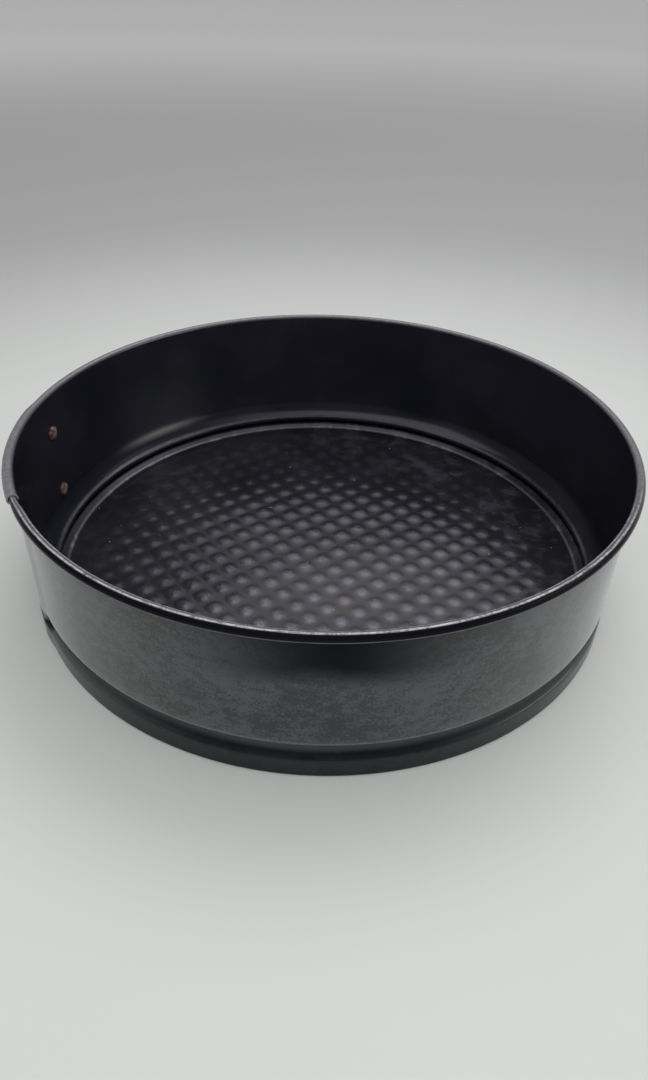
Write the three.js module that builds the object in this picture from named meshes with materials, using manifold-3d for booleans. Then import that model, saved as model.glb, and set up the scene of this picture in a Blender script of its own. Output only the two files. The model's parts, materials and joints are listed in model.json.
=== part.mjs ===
// Springform baking pan: a split, coated steel band with a rolled rim and a pressed bead, a loose base
// plate with an embossed waffle field, and a toggle buckle with a wire bail that draws the band shut.
// Millimetres, +Z up. The origin is on the pan's axis, on the plane that the pan stands on.
// The open side of the view is -Y, and the buckle is on the -X side.
import * as THREE from 'three';
import { mergeVertices } from 'three/addons/utils/BufferGeometryUtils.js';
import Module from 'manifold-3d';

const wasm = await Module();
wasm.setup();

// Fits between neighbours
const SEAT_GAP = 0.3;
const PIN_CLEARANCE = 0.1;
const BAIL_CLEARANCE = 0.15;
const RIVET_CLEARANCE = 0.15;

// Band
const PAN_INNER_RADIUS = 130;
const PAN_HEIGHT = 72;
const BAND_SHEET = 0.6;
const RIM_DIAMETER = 4.0;
const RIM_OVERLAP_DIAMETER = 4.7;
// The pressed bead, from the mouth of its groove outside to where its flank meets the wall again
const BEAD_MOUTH = 9.6;
const BEAD_MOUTH_BEND = 1.6;
const BEAD_DEPTH = 7.4;
const BEAD_UNDERCUT = 0.6;
const BEAD_NOSE = 1.5;
const BEAD_FLANK = 7.1;
const BEAD_WAIST_DEPTH = 4.4;
const BEAD_WAIST_RISE = 1.2;
const BEAD_SHOULDER_DROP = 2.4;
// Share of the bead's depth that is left in the outer sheet where the two sheets overlap
const BEAD_NESTED_SHARE = 0.05;
const FOOT_LIP = 3.8;
const FOOT_CORNER = 1.2;
const TAIL_AZIMUTH = 207.5;
const OVERLAP_ANGLE = 30;
const FACET_ANGLE = 6;
const RIM_ROLL_STEPS = 6;
const BEAD_MOUTH_STEPS = 2;
const BEAD_FLANK_STEPS = 5;
const CORNER_STEPS = 2;
// Degrees past the tail end at which the outer sheet steps in to the common radius
const JOG_ANGLES = [2, 4.5, 7];

// Base plate
const PLATE_SHEET = 0.8;
const PLATE_EDGE_CLEARANCE = 1.4;
const PLATE_FLANGE = 3.7;
const PLATEAU_RISE = 4.4;
const STEP_RUN = 0.9;
// A low ridge that runs round the plateau, just inside the step
const RIDGE_WIDTH = 1;
const RIDGE_RUN = 3.3;
const RIDGE_RISE = 1.9;
const WAFFLE_PITCH = 9.8;
const WAFFLE_TURN = 38.2;
const WAFFLE_SHIFT = new THREE.Vector2(1.6, 3.4);
const WAFFLE_RISE = 0.5;
const WAFFLE_MARGIN = 8;
const PLATE_SEGMENTS = 60;

// Buckle
const BUCKLE_HEIGHT = 37.5;
const PIVOT_AZIMUTH = 171;
const CATCH_AZIMUTH = 187;
const PIVOT_STAND_OFF = 5;
const PIN_RADIUS = 1.4;
const PIN_HEAD_RADIUS = 2.3;
const PIN_HEAD = 0.5;
const LEVER_SHEET = 0.8;
const LEVER_TALL = 18;
const LEVER_NOSE = 2.8;
const LEVER_LENGTH = 58;
const LEVER_FLARE = 3;
const LEVER_WEB_START = 5.2;
const LEVER_GRIP_FLANGE = 2.8;
const BAIL_ARM = 11;
const BAIL_SINK = 0.7;
const BAIL_RADIUS = 1.1;
const BAIL_BEND = 2;
const BAIL_TIP = 1.2;
const BRACKET_SHEET = 1;
const BRACKET_WIDTH = 15;
const BRACKET_EDGE = 3.8;
const EAR_HALF_WIDTH = 3.2;
const RIVET_ABOVE_BEAD = 3.2;
const RIVET_SPACING = 31;
const RIVET_RADIUS = 2;
const RIVET_HEAD_RADIUS = 3.2;
const RIVET_HEAD = 1.1;
const RIVET_HEAD_EDGE = 0.35;
const RIVET_HEAD_CHAMFER = 0.6;
const CATCH_SHEET = 1;
const CATCH_LENGTH = 13;
const CATCH_TALL = 17;
const CATCH_RIVET_SPACING = 9;
const CATCH_RIVET_SETBACK = 8;
const CATCH_RIVET_RADIUS = 1.5;
const CATCH_RIVET_HEAD_RADIUS = 2.4;
const CATCH_RIVET_HEAD = 0.6;
const TAB_WIDTH = 12;
const TAB_HOLD = 0.8;
const TAB_SLACK = 0.7;

// Sizes that follow from the ones above
const SHEET_PITCH = BAND_SHEET + SEAT_GAP;
const BAND_MIDDLE = PAN_INNER_RADIUS + BAND_SHEET / 2;
const INNER_SHEET_FACE = PAN_INNER_RADIUS + BAND_SHEET;
const OUTER_SHEET_FACE = INNER_SHEET_FACE + SHEET_PITCH;
const RIM_ROLL = (RIM_DIAMETER - BAND_SHEET) / 2;
const RIM_OVERLAP_ROLL = (RIM_OVERLAP_DIAMETER - BAND_SHEET) / 2;
const RIM_NESTED_ROLL = RIM_OVERLAP_ROLL - SHEET_PITCH;
const ROLL_CENTRE_HEIGHT = PAN_HEIGHT - RIM_OVERLAP_DIAMETER / 2;
const BRACKET_INNER = INNER_SHEET_FACE + SEAT_GAP;
const BRACKET_OUTER = BRACKET_INNER + BRACKET_SHEET;
const CATCH_INNER = OUTER_SHEET_FACE + SEAT_GAP;
const CATCH_OUTER = CATCH_INNER + CATCH_SHEET;
const PIVOT_RADIUS = INNER_SHEET_FACE + PIVOT_STAND_OFF;
const LEVER_OUTER = PIVOT_RADIUS + LEVER_NOSE;
const LEVER_HALF = LEVER_TALL / 2;
const EAR_OUTER = LEVER_HALF - LEVER_SHEET - SEAT_GAP;
const PIN_HALF = LEVER_HALF + SEAT_GAP + PIN_HEAD;
const BAIL_LEG = PIN_HALF + SEAT_GAP + BAIL_RADIUS;
const BAIL_EYE = new THREE.Vector2(PIVOT_RADIUS - BAIL_SINK, -BAIL_ARM);
const CROSSBAR_RADIUS = CATCH_OUTER + SEAT_GAP + BAIL_RADIUS;
const PLATE_BOTTOM = BAND_SHEET + SEAT_GAP;
const PLATE_EDGE = PAN_INNER_RADIUS - PLATE_EDGE_CLEARANCE;
const STEP_FOOT = PLATE_EDGE - PLATE_FLANGE;
const RIDGE_OUTER = STEP_FOOT - STEP_RUN;
const RIDGE_INNER = RIDGE_OUTER - RIDGE_WIDTH;
const PLATEAU_RADIUS = RIDGE_INNER - RIDGE_RUN;
const FLANGE_TOP = PLATE_BOTTOM + PLATE_SHEET;
const PLATEAU_TOP = FLANGE_TOP + PLATEAU_RISE;
const RIDGE_TOP = PLATEAU_TOP + RIDGE_RISE;
const BEAD_UNDER = BEAD_MOUTH + BEAD_UNDERCUT;
const BEAD_TIP = BEAD_UNDER + BEAD_NOSE;
const BEAD_TOP = BEAD_TIP + BEAD_FLANK;

const rad = THREE.MathUtils.degToRad;
const deg = THREE.MathUtils.radToDeg;
const lerp = THREE.MathUtils.lerp;
const spread = (from, to, steps) => Array.from({ length: steps + 1 }, (_, i) => lerp(from, to, i / steps));

// Facets on small round pieces, and how far a drill reaches either side of the inner wall
const ROUND_SIDES = 16;
const WIRE_SIDES = 8;
const NOSE_STEPS = 6;
const DOME_STEPS = 2;
const DRILL_REACH = 10;
const DRILL_START = PAN_INNER_RADIUS - DRILL_REACH;
const DRILL_END = PAN_INNER_RADIUS + DRILL_REACH;

// Finishes
const coated = (color, roughness) => new THREE.MeshStandardMaterial({ color, roughness, metalness: 0.3 });
const plated = (color) => new THREE.MeshStandardMaterial({ color, roughness: 0.35, metalness: 1 });
const rusted = (color) => new THREE.MeshStandardMaterial({ color, roughness: 0.8, metalness: 0.4 });

// Boolean work on closed geometries
const MERGE_TOLERANCE = 1e-5;

function solidOf(geometry) {
  const bare = geometry.clone();
  bare.deleteAttribute('normal');
  bare.deleteAttribute('uv');
  const merged = mergeVertices(bare, MERGE_TOLERANCE);
  const vertProperties = new Float32Array(merged.attributes.position.array);
  const triVerts = new Uint32Array(merged.index.array);
  return new wasm.Manifold(new wasm.Mesh({ numProp: 3, vertProperties, triVerts }));
}

function geometryOf(solid) {
  const mesh = solid.getMesh();
  const geometry = new THREE.BufferGeometry();
  geometry.setAttribute('position', new THREE.BufferAttribute(mesh.vertProperties, 3));
  geometry.setIndex(new THREE.BufferAttribute(mesh.triVerts, 1));
  return geometry;
}

const joined = (...pieces) => geometryOf(pieces.map(solidOf).reduce((a, b) => a.add(b)));
const cut = (piece, ...tools) => {
  const left = tools.map(solidOf).reduce((a, b) => a.subtract(b), solidOf(piece));
  return geometryOf(left);
};

function meshGeometry(positions, triangles) {
  const geometry = new THREE.BufferGeometry();
  geometry.setAttribute('position', new THREE.Float32BufferAttribute(positions.flat(), 3));
  geometry.setIndex(triangles.flat());
  return geometry;
}

// Skins a row of closed rings with the same point count, and closes both ends with flat caps
function skin(rings, cap) {
  const count = rings[0].length;
  const triangles = [];
  for (let i = 0; i + 1 < rings.length; i += 1) {
    for (let j = 0; j < count; j += 1) {
      const a = i * count + j;
      const b = i * count + ((j + 1) % count);
      triangles.push([a, b, b + count], [a, b + count, a + count]);
    }
  }
  const last = (rings.length - 1) * count;
  for (const [a, b, c] of cap) {
    triangles.push([a, c, b], [last + a, last + b, last + c]);
  }
  return meshGeometry(rings.flat(), triangles);
}

// An upright extrusion of a plan outline between two heights
function prism(outline, bottom, top, holes = []) {
  const shape = new THREE.Shape(outline);
  shape.holes = holes.map((hole) => new THREE.Path(hole));
  const geometry = new THREE.ExtrudeGeometry(shape, { depth: top - bottom, bevelEnabled: false });
  return geometry.translate(0, 0, bottom);
}

function circle(centre, radius, segments = ROUND_SIDES) {
  return Array.from({ length: segments }, (_, i) => {
    const turn = (2 * Math.PI * i) / segments;
    return new THREE.Vector2(centre.x + radius * Math.cos(turn), centre.y + radius * Math.sin(turn));
  });
}

const polar = (radius, degrees) => new THREE.Vector2(
  radius * Math.cos(rad(degrees)),
  radius * Math.sin(rad(degrees)),
);

// The band's facets are flat, so pieces that lie on it follow the same facets
function facetRadius(radius, azimuth) {
  const facet = Math.floor((TAIL_AZIMUTH - azimuth) / FACET_ANGLE);
  const middle = TAIL_AZIMUTH - (facet + 0.5) * FACET_ANGLE;
  return (radius * Math.cos(rad(FACET_ANGLE / 2))) / Math.cos(rad(azimuth - middle));
}

// A plate that hugs the band from one azimuth to another, drawn in a frame turned to its own azimuth
function huggingPlate(own, from, to, inner, thickness, bottom, top) {
  const corners = [from];
  const first = Math.ceil((TAIL_AZIMUTH - to) / FACET_ANGLE);
  for (let k = first; TAIL_AZIMUTH - k * FACET_ANGLE > from; k += 1) {
    corners.splice(1, 0, TAIL_AZIMUTH - k * FACET_ANGLE);
  }
  corners.push(to);
  const along = (radius) => corners.map((azimuth) => polar(facetRadius(radius, azimuth), azimuth - own));
  const outline = [...along(inner).reverse(), ...along(inner + thickness)];
  return prism(outline, bottom, top);
}

// Band: one strip whose section changes along its length
const ROLL_SWEEP = 270;

// The bead's middle line, as depths in from the wall and heights: mouth, under side, nose and flank
function beadLine() {
  const mouth = new THREE.Vector2(0, BEAD_MOUTH);
  const underSide = new THREE.LineCurve(mouth, new THREE.Vector2(BEAD_DEPTH, BEAD_UNDER));
  const mouthBend = new THREE.QuadraticBezierCurve(
    new THREE.Vector2(0, BEAD_MOUTH - BEAD_MOUTH_BEND),
    mouth,
    underSide.getPoint(BEAD_MOUTH_BEND / underSide.getLength()),
  );
  const flank = new THREE.CubicBezierCurve(
    new THREE.Vector2(BEAD_DEPTH, BEAD_TIP),
    new THREE.Vector2(BEAD_WAIST_DEPTH, BEAD_TIP + BEAD_WAIST_RISE),
    new THREE.Vector2(0, BEAD_TOP - BEAD_SHOULDER_DROP),
    new THREE.Vector2(0, BEAD_TOP),
  );
  return [
    ...mouthBend.getPoints(BEAD_MOUTH_STEPS),
    new THREE.Vector2(BEAD_DEPTH, BEAD_UNDER),
    ...flank.getPoints(BEAD_FLANK_STEPS),
  ];
}

// The outer sheet stands straight out from the inner one, so its foot stays above the standing plane
function bandPath({ offset, roll, lip }) {
  const path = [];
  const middle = BAND_SHEET / 2;
  const cornerCentre = BAND_MIDDLE - FOOT_CORNER;
  path.push([BAND_MIDDLE - FOOT_LIP, middle]);
  for (const turn of spread(-90, 0, CORNER_STEPS)) {
    const at = polar(FOOT_CORNER, turn);
    path.push([cornerCentre + at.x, middle + FOOT_CORNER + at.y]);
  }
  const kneeHeight = middle + FOOT_CORNER;
  path.forEach((point, i) => {
    const trimmed = lerp(SHEET_PITCH, kneeHeight, i / (CORNER_STEPS + 1));
    point[0] = lerp(BAND_MIDDLE, point[0], lip);
    point[1] = lerp(trimmed, point[1], lip);
  });
  const depthShare = lerp(BEAD_NESTED_SHARE, 1, lip);
  for (const { x: depth, y: height } of beadLine()) {
    path.push([BAND_MIDDLE - depth * depthShare, height]);
  }
  const out = offset * (1 - lip);
  const shifted = path.map(([r, z]) => [r + out, z]);
  const rollCentre = BAND_MIDDLE + out + roll;
  for (const turn of spread(180, 180 - ROLL_SWEEP, RIM_ROLL_STEPS)) {
    const at = polar(roll, turn);
    shifted.push([rollCentre + at.x, ROLL_CENTRE_HEIGHT + at.y]);
  }
  return shifted;
}

// Both faces of the sheet around its middle line, as one closed section
const MITRE_LIMIT = 0.5;

function thicken(path, thickness) {
  const side = (sign) => path.map((point, i) => {
    const before = path[Math.max(i - 1, 0)];
    const after = path[Math.min(i + 1, path.length - 1)];
    const here = new THREE.Vector2(...point);
    const intoHere = i > 0 ? here.clone().sub(new THREE.Vector2(...before)).normalize() : null;
    const outOfHere = i < path.length - 1 ? new THREE.Vector2(...after).sub(here).normalize() : null;
    const a = intoHere ?? outOfHere;
    const b = outOfHere ?? intoHere;
    const normal = new THREE.Vector2(a.y + b.y, -a.x - b.x).normalize();
    const square = normal.dot(new THREE.Vector2(a.y, -a.x));
    const reach = ((sign * thickness) / 2) / Math.max(square, MITRE_LIMIT);
    return [point[0] + normal.x * reach, point[1] + normal.y * reach];
  });
  return [...side(1), ...side(-1).reverse()];
}

// Share of the foot lip that is left half way along the step between the two sheets
const LIP_AT_STEP = 0.25;

function bandStations() {
  const plain = { offset: SHEET_PITCH, roll: RIM_ROLL, lip: 1 };
  const under = { ...plain, roll: RIM_OVERLAP_ROLL };
  const over = { ...plain, roll: RIM_NESTED_ROLL, lip: 0 };
  const half = { ...plain, roll: (RIM_NESTED_ROLL + RIM_ROLL) / 2, lip: LIP_AT_STEP };
  const stations = [];
  const overlapSteps = Math.round(OVERLAP_ANGLE / FACET_ANGLE);
  for (let turn = 0; turn < 360 - JOG_ANGLES[2]; turn += FACET_ANGLE) {
    stations.push({ azimuth: TAIL_AZIMUTH - turn, ...(turn <= OVERLAP_ANGLE ? under : plain) });
  }
  const seam = TAIL_AZIMUTH - 360;
  stations.push({ azimuth: seam + JOG_ANGLES[2], ...plain });
  stations.push({ azimuth: seam + JOG_ANGLES[1], ...half });
  stations.push({ azimuth: seam + JOG_ANGLES[0], ...over });
  for (let i = 0; i <= overlapSteps; i += 1) {
    stations.push({ azimuth: seam - i * FACET_ANGLE, ...over });
  }
  return stations;
}

function bandGeometry() {
  const stations = bandStations();
  const sections = stations.map((station) => thicken(bandPath(station), BAND_SHEET));
  const rings = sections.map((section, i) => section.map(([r, z]) => {
    const at = polar(r, stations[i].azimuth);
    return [at.x, at.y, z];
  }));
  const points = sections[0].length / 2;
  const cap = [];
  for (let i = 0; i + 1 < points; i += 1) {
    const near = i;
    const far = 2 * points - 1 - i;
    cap.push([near, near + 1, far], [near + 1, far - 1, far]);
  }
  return skin(rings, cap);
}

// A rivet along a radius: domed head inside, shank, flat head outside
function rivetProfile(radius, headRadius, innerFace, outerFace, innerHead, outerHead) {
  const profile = [];
  if (innerHead > 0) {
    const rise = innerHead - RIVET_HEAD_EDGE;
    for (const turn of spread(90, 0, DOME_STEPS)) {
      const at = polar(1, turn);
      const reach = turn === 90 ? 0 : headRadius * at.x;
      profile.push(new THREE.Vector2(reach, innerFace - RIVET_HEAD_EDGE - rise * at.y));
    }
    profile.push(new THREE.Vector2(headRadius, innerFace));
  } else {
    profile.push(new THREE.Vector2(0, innerFace));
  }
  profile.push(new THREE.Vector2(radius, innerFace));
  profile.push(new THREE.Vector2(radius, outerFace));
  profile.push(new THREE.Vector2(headRadius, outerFace));
  profile.push(new THREE.Vector2(headRadius - RIVET_HEAD_CHAMFER, outerFace + outerHead));
  profile.push(new THREE.Vector2(0, outerFace + outerHead));
  return profile;
}

function radialLathe(profile, height) {
  const geometry = new THREE.LatheGeometry(profile, ROUND_SIDES);
  geometry.rotateZ(-Math.PI / 2);
  return geometry.translate(0, 0, height);
}

// Drill for a hole along a radius, as seen in a frame turned to the hole's azimuth
function radialDrill(radius, height, inner = DRILL_START, outer = DRILL_END) {
  const drill = new THREE.CylinderGeometry(radius, radius, outer - inner, ROUND_SIDES);
  drill.rotateZ(-Math.PI / 2);
  return drill.translate((inner + outer) / 2, 0, height);
}

const lowerRivet = BEAD_TOP + RIVET_ABOVE_BEAD;
const bracketRivets = [lowerRivet, lowerRivet + RIVET_SPACING];
const catchRivets = [BUCKLE_HEIGHT - CATCH_RIVET_SPACING / 2, BUCKLE_HEIGHT + CATCH_RIVET_SPACING / 2];
const catchRivetAzimuth = CATCH_AZIMUTH - deg(CATCH_RIVET_SETBACK / CATCH_OUTER);

function drilledBand() {
  const holes = [];
  for (const height of bracketRivets) {
    holes.push(radialDrill(RIVET_RADIUS + RIVET_CLEARANCE, height).rotateZ(rad(PIVOT_AZIMUTH)));
  }
  // These stop in the gap between the two sheets, so only the outer one is drilled
  const between = INNER_SHEET_FACE + SEAT_GAP / 2;
  const beyond = OUTER_SHEET_FACE + SEAT_GAP;
  for (const height of catchRivets) {
    const drill = radialDrill(CATCH_RIVET_RADIUS + RIVET_CLEARANCE, height, between, beyond);
    holes.push(drill.rotateZ(rad(catchRivetAzimuth)));
  }
  return cut(bandGeometry(), ...holes);
}

// Base plate: flange, step, ridge and a plateau embossed with low pyramids on a turned square lattice
function waffleCells() {
  const reach = PLATEAU_RADIUS - WAFFLE_MARGIN - WAFFLE_PITCH * Math.SQRT1_2;
  const most = Math.ceil((reach + WAFFLE_SHIFT.length()) / WAFFLE_PITCH);
  const cells = [];
  for (let i = -most; i <= most; i += 1) {
    for (let j = -most; j <= most; j += 1) {
      if (latticePoint(i, j).length() <= reach) {
        cells.push([i, j]);
      }
    }
  }
  return cells;
}

function latticePoint(i, j) {
  const turned = new THREE.Vector2(i * WAFFLE_PITCH, j * WAFFLE_PITCH);
  return turned.rotateAround(new THREE.Vector2(), rad(WAFFLE_TURN)).add(WAFFLE_SHIFT);
}

// The outline of the embossed field, corner by corner, anticlockwise
function waffleBoundary(cells) {
  const filled = new Set(cells.map(([i, j]) => `${i},${j}`));
  const next = new Map();
  for (const [i, j] of cells) {
    const corners = [[i, j], [i + 1, j], [i + 1, j + 1], [i, j + 1]];
    const neighbours = [[i, j - 1], [i + 1, j], [i, j + 1], [i - 1, j]];
    neighbours.forEach(([a, b], side) => {
      if (!filled.has(`${a},${b}`)) {
        next.set(String(corners[side]), corners[(side + 1) % 4]);
      }
    });
  }
  const start = [...next.keys()][0].split(',').map(Number);
  const loop = [start];
  for (let at = next.get(String(start)); String(at) !== String(start); at = next.get(String(at))) {
    loop.push(at);
  }
  return loop.map(([i, j]) => latticePoint(i - 0.5, j - 0.5));
}

function plateGeometry() {
  const positions = [];
  const triangles = [];
  const known = new Map();
  const vertex = (x, y, z) => {
    const key = [x, y, z].map((value) => value.toFixed(4)).join(' ');
    if (!known.has(key)) {
      known.set(key, positions.length);
      positions.push([x, y, z]);
    }
    return known.get(key);
  };
  const cells = waffleCells();
  const rim = circle(new THREE.Vector2(), PLATEAU_RADIUS, PLATE_SEGMENTS);
  const boundary = waffleBoundary(cells);
  const margin = THREE.ShapeUtils.triangulateShape(rim, [boundary]);
  const outline = [...rim, ...boundary];
  for (const [level, up] of [[PLATEAU_TOP, true], [PLATEAU_TOP - PLATE_SHEET, false]]) {
    const add = (a, b, c) => triangles.push(up ? [a, b, c] : [a, c, b]);
    for (const face of margin) {
      add(...face.map((n) => vertex(outline[n].x, outline[n].y, level)));
    }
    for (const [i, j] of cells) {
      const middle = latticePoint(i, j);
      const peak = vertex(middle.x, middle.y, level + WAFFLE_RISE);
      const corners = [[-0.5, -0.5], [0.5, -0.5], [0.5, 0.5], [-0.5, 0.5]].map(([a, b]) => {
        const at = latticePoint(i + a, j + b);
        return vertex(at.x, at.y, level);
      });
      corners.forEach((corner, k) => add(corner, corners[(k + 1) % 4], peak));
    }
  }
  // Up the ridge, down the step, out along the flange, and back underneath
  const edge = [
    [PLATEAU_RADIUS, PLATEAU_TOP],
    [RIDGE_INNER, RIDGE_TOP],
    [RIDGE_OUTER, RIDGE_TOP],
    [STEP_FOOT, FLANGE_TOP],
    [PLATE_EDGE, FLANGE_TOP],
    [PLATE_EDGE, PLATE_BOTTOM],
    [STEP_FOOT - PLATE_SHEET, PLATE_BOTTOM],
    [RIDGE_OUTER - PLATE_SHEET, RIDGE_TOP - PLATE_SHEET],
    [RIDGE_INNER, RIDGE_TOP - PLATE_SHEET],
    [PLATEAU_RADIUS, PLATEAU_TOP - PLATE_SHEET],
  ];
  const rings = edge.map(([r, z]) => circle(new THREE.Vector2(), r, PLATE_SEGMENTS)
    .map((point) => vertex(point.x, point.y, z)));
  for (let k = 0; k + 1 < rings.length; k += 1) {
    for (let i = 0; i < PLATE_SEGMENTS; i += 1) {
      const j = (i + 1) % PLATE_SEGMENTS;
      triangles.push([rings[k][i], rings[k + 1][i], rings[k + 1][j]]);
      triangles.push([rings[k][i], rings[k + 1][j], rings[k][j]]);
    }
  }
  return meshGeometry(positions, triangles);
}

// Round end of the ears and of the lever, about the pin
const noseArc = (from, to) => spread(from, to, NOSE_STEPS).map((turn) => {
  const at = polar(LEVER_NOSE, turn);
  return new THREE.Vector2(PIVOT_RADIUS + at.x, at.y);
});

// Lever bracket: a plate on the band with two ears for the pin
function bracketGeometry() {
  const half = deg(BRACKET_WIDTH / 2 / BRACKET_INNER);
  const plate = huggingPlate(
    PIVOT_AZIMUTH,
    PIVOT_AZIMUTH - half,
    PIVOT_AZIMUTH + half,
    BRACKET_INNER,
    BRACKET_SHEET,
    bracketRivets[0] - BRACKET_EDGE,
    bracketRivets[1] + BRACKET_EDGE,
  );
  const root = BRACKET_INNER + BRACKET_SHEET / 2;
  const outline = [
    new THREE.Vector2(root, EAR_HALF_WIDTH),
    new THREE.Vector2(root, -EAR_HALF_WIDTH),
    ...noseArc(-90, 90),
  ];
  const hole = circle(new THREE.Vector2(PIVOT_RADIUS, 0), PIN_RADIUS + PIN_CLEARANCE);
  const ear = (top) => prism(outline, top - BRACKET_SHEET, top, [hole]);
  const upper = ear(BUCKLE_HEIGHT + EAR_OUTER);
  const lower = ear(BUCKLE_HEIGHT - EAR_OUTER + BRACKET_SHEET);
  const holes = bracketRivets.map((height) => radialDrill(RIVET_RADIUS + RIVET_CLEARANCE, height));
  return cut(joined(plate, upper, lower), ...holes);
}

// Lever: a channel bent round the band, with a flared grip
const leverEnd = -deg(LEVER_LENGTH / LEVER_OUTER);
const leverWebStart = -deg(LEVER_WEB_START / LEVER_OUTER);
const LEVER_STEPS = 10;

function leverOuter(degrees) {
  const along = Math.max(0, (degrees - leverWebStart) / (leverEnd - leverWebStart));
  return LEVER_OUTER + LEVER_FLARE * along * along;
}

function leverGeometry() {
  const stops = spread(leverWebStart, leverEnd, LEVER_STEPS);
  const inward = (depth, at) => at.map((degrees) => polar(leverOuter(degrees) - depth, degrees));
  const back = inward(0, stops);
  const front = inward(LEVER_SHEET, stops);
  const web = prism([...front, ...back.slice().reverse()], -LEVER_HALF, LEVER_HALF);
  const skirt = PIVOT_RADIUS - LEVER_NOSE;
  const skirtEnd = -(BAIL_ARM + 2 * LEVER_NOSE);
  const grip = stops.filter((degrees) => polar(LEVER_OUTER, degrees).y < skirtEnd - LEVER_NOSE);
  const outline = [
    new THREE.Vector2(skirt, skirtEnd),
    ...inward(LEVER_GRIP_FLANGE, grip),
    ...back.slice().reverse(),
    ...noseArc(0, 180),
  ];
  const holes = [
    circle(new THREE.Vector2(PIVOT_RADIUS, 0), PIN_RADIUS + PIN_CLEARANCE),
    circle(BAIL_EYE, BAIL_RADIUS + BAIL_CLEARANCE),
  ];
  const upper = prism(outline, LEVER_HALF - LEVER_SHEET, LEVER_HALF, holes);
  const lower = prism(outline, -LEVER_HALF, LEVER_SHEET - LEVER_HALF, holes);
  return joined(web, upper, lower).translate(0, 0, BUCKLE_HEIGHT);
}

function pinGeometry() {
  const profile = [
    new THREE.Vector2(0, -PIN_HALF),
    new THREE.Vector2(PIN_HEAD_RADIUS, -PIN_HALF),
    new THREE.Vector2(PIN_HEAD_RADIUS, PIN_HEAD - PIN_HALF),
    new THREE.Vector2(PIN_RADIUS, PIN_HEAD - PIN_HALF),
    new THREE.Vector2(PIN_RADIUS, PIN_HALF - PIN_HEAD),
    new THREE.Vector2(PIN_HEAD_RADIUS, PIN_HALF - PIN_HEAD),
    new THREE.Vector2(PIN_HEAD_RADIUS, PIN_HALF),
    new THREE.Vector2(0, PIN_HALF),
  ];
  const geometry = new THREE.LatheGeometry(profile, ROUND_SIDES);
  geometry.rotateX(Math.PI / 2);
  return geometry.translate(PIVOT_RADIUS, 0, BUCKLE_HEIGHT);
}

// Bail: one bent wire, its ends turned in through the lever, its crossbar behind the catch tab
const BAIL_LEG_STEPS = 5;
const BEND_STEPS = 4;
// Corners flatter than this many degrees need no bend
const FLAT_CORNER = 150;

function bailCorners() {
  const eyeRadius = BAIL_EYE.length();
  const eyeAngle = deg(BAIL_EYE.angle()) - 360;
  const farAngle = CATCH_AZIMUTH - PIVOT_AZIMUTH;
  const leg = spread(0, 1, BAIL_LEG_STEPS).map((along) => {
    const radius = lerp(eyeRadius, CROSSBAR_RADIUS, along);
    return polar(radius, lerp(eyeAngle, farAngle, along));
  });
  const tip = LEVER_HALF - LEVER_SHEET - BAIL_TIP;
  const lower = leg.map((point) => new THREE.Vector3(point.x, point.y, -BAIL_LEG));
  const upper = leg.map((point) => new THREE.Vector3(point.x, point.y, BAIL_LEG)).reverse();
  const end = (z) => new THREE.Vector3(BAIL_EYE.x, BAIL_EYE.y, z);
  return [end(-tip), ...lower, ...upper, end(tip)];
}

function roundedPath(corners, bend) {
  const path = [corners[0]];
  for (let i = 1; i + 1 < corners.length; i += 1) {
    const here = corners[i];
    const back = corners[i - 1].clone().sub(here);
    const ahead = corners[i + 1].clone().sub(here);
    if (back.angleTo(ahead) > rad(FLAT_CORNER)) {
      path.push(here);
      continue;
    }
    const from = here.clone().add(back.normalize().multiplyScalar(bend));
    const to = here.clone().add(ahead.normalize().multiplyScalar(bend));
    path.push(...new THREE.QuadraticBezierCurve3(from, here, to).getPoints(BEND_STEPS));
  }
  path.push(corners[corners.length - 1]);
  return path;
}

function wireGeometry(path, radius, sides = WIRE_SIDES) {
  const tangents = path.map((_, i) => {
    const from = path[Math.max(i - 1, 0)];
    const to = path[Math.min(i + 1, path.length - 1)];
    return to.clone().sub(from).normalize();
  });
  let across = new THREE.Vector3(1, 0, 0);
  const rings = path.map((point, i) => {
    across = across.clone().addScaledVector(tangents[i], -across.dot(tangents[i])).normalize();
    const up = tangents[i].clone().cross(across);
    return Array.from({ length: sides }, (_, k) => {
      const turn = (2 * Math.PI * k) / sides;
      const at = point.clone().addScaledVector(across, radius * Math.cos(turn));
      return at.addScaledVector(up, radius * Math.sin(turn)).toArray();
    });
  });
  const cap = Array.from({ length: sides - 2 }, (_, k) => [0, k + 1, k + 2]);
  return skin(rings, cap);
}

function bailGeometry() {
  const wire = wireGeometry(roundedPath(bailCorners(), BAIL_BEND), BAIL_RADIUS);
  return wire.translate(0, 0, BUCKLE_HEIGHT);
}

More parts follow.
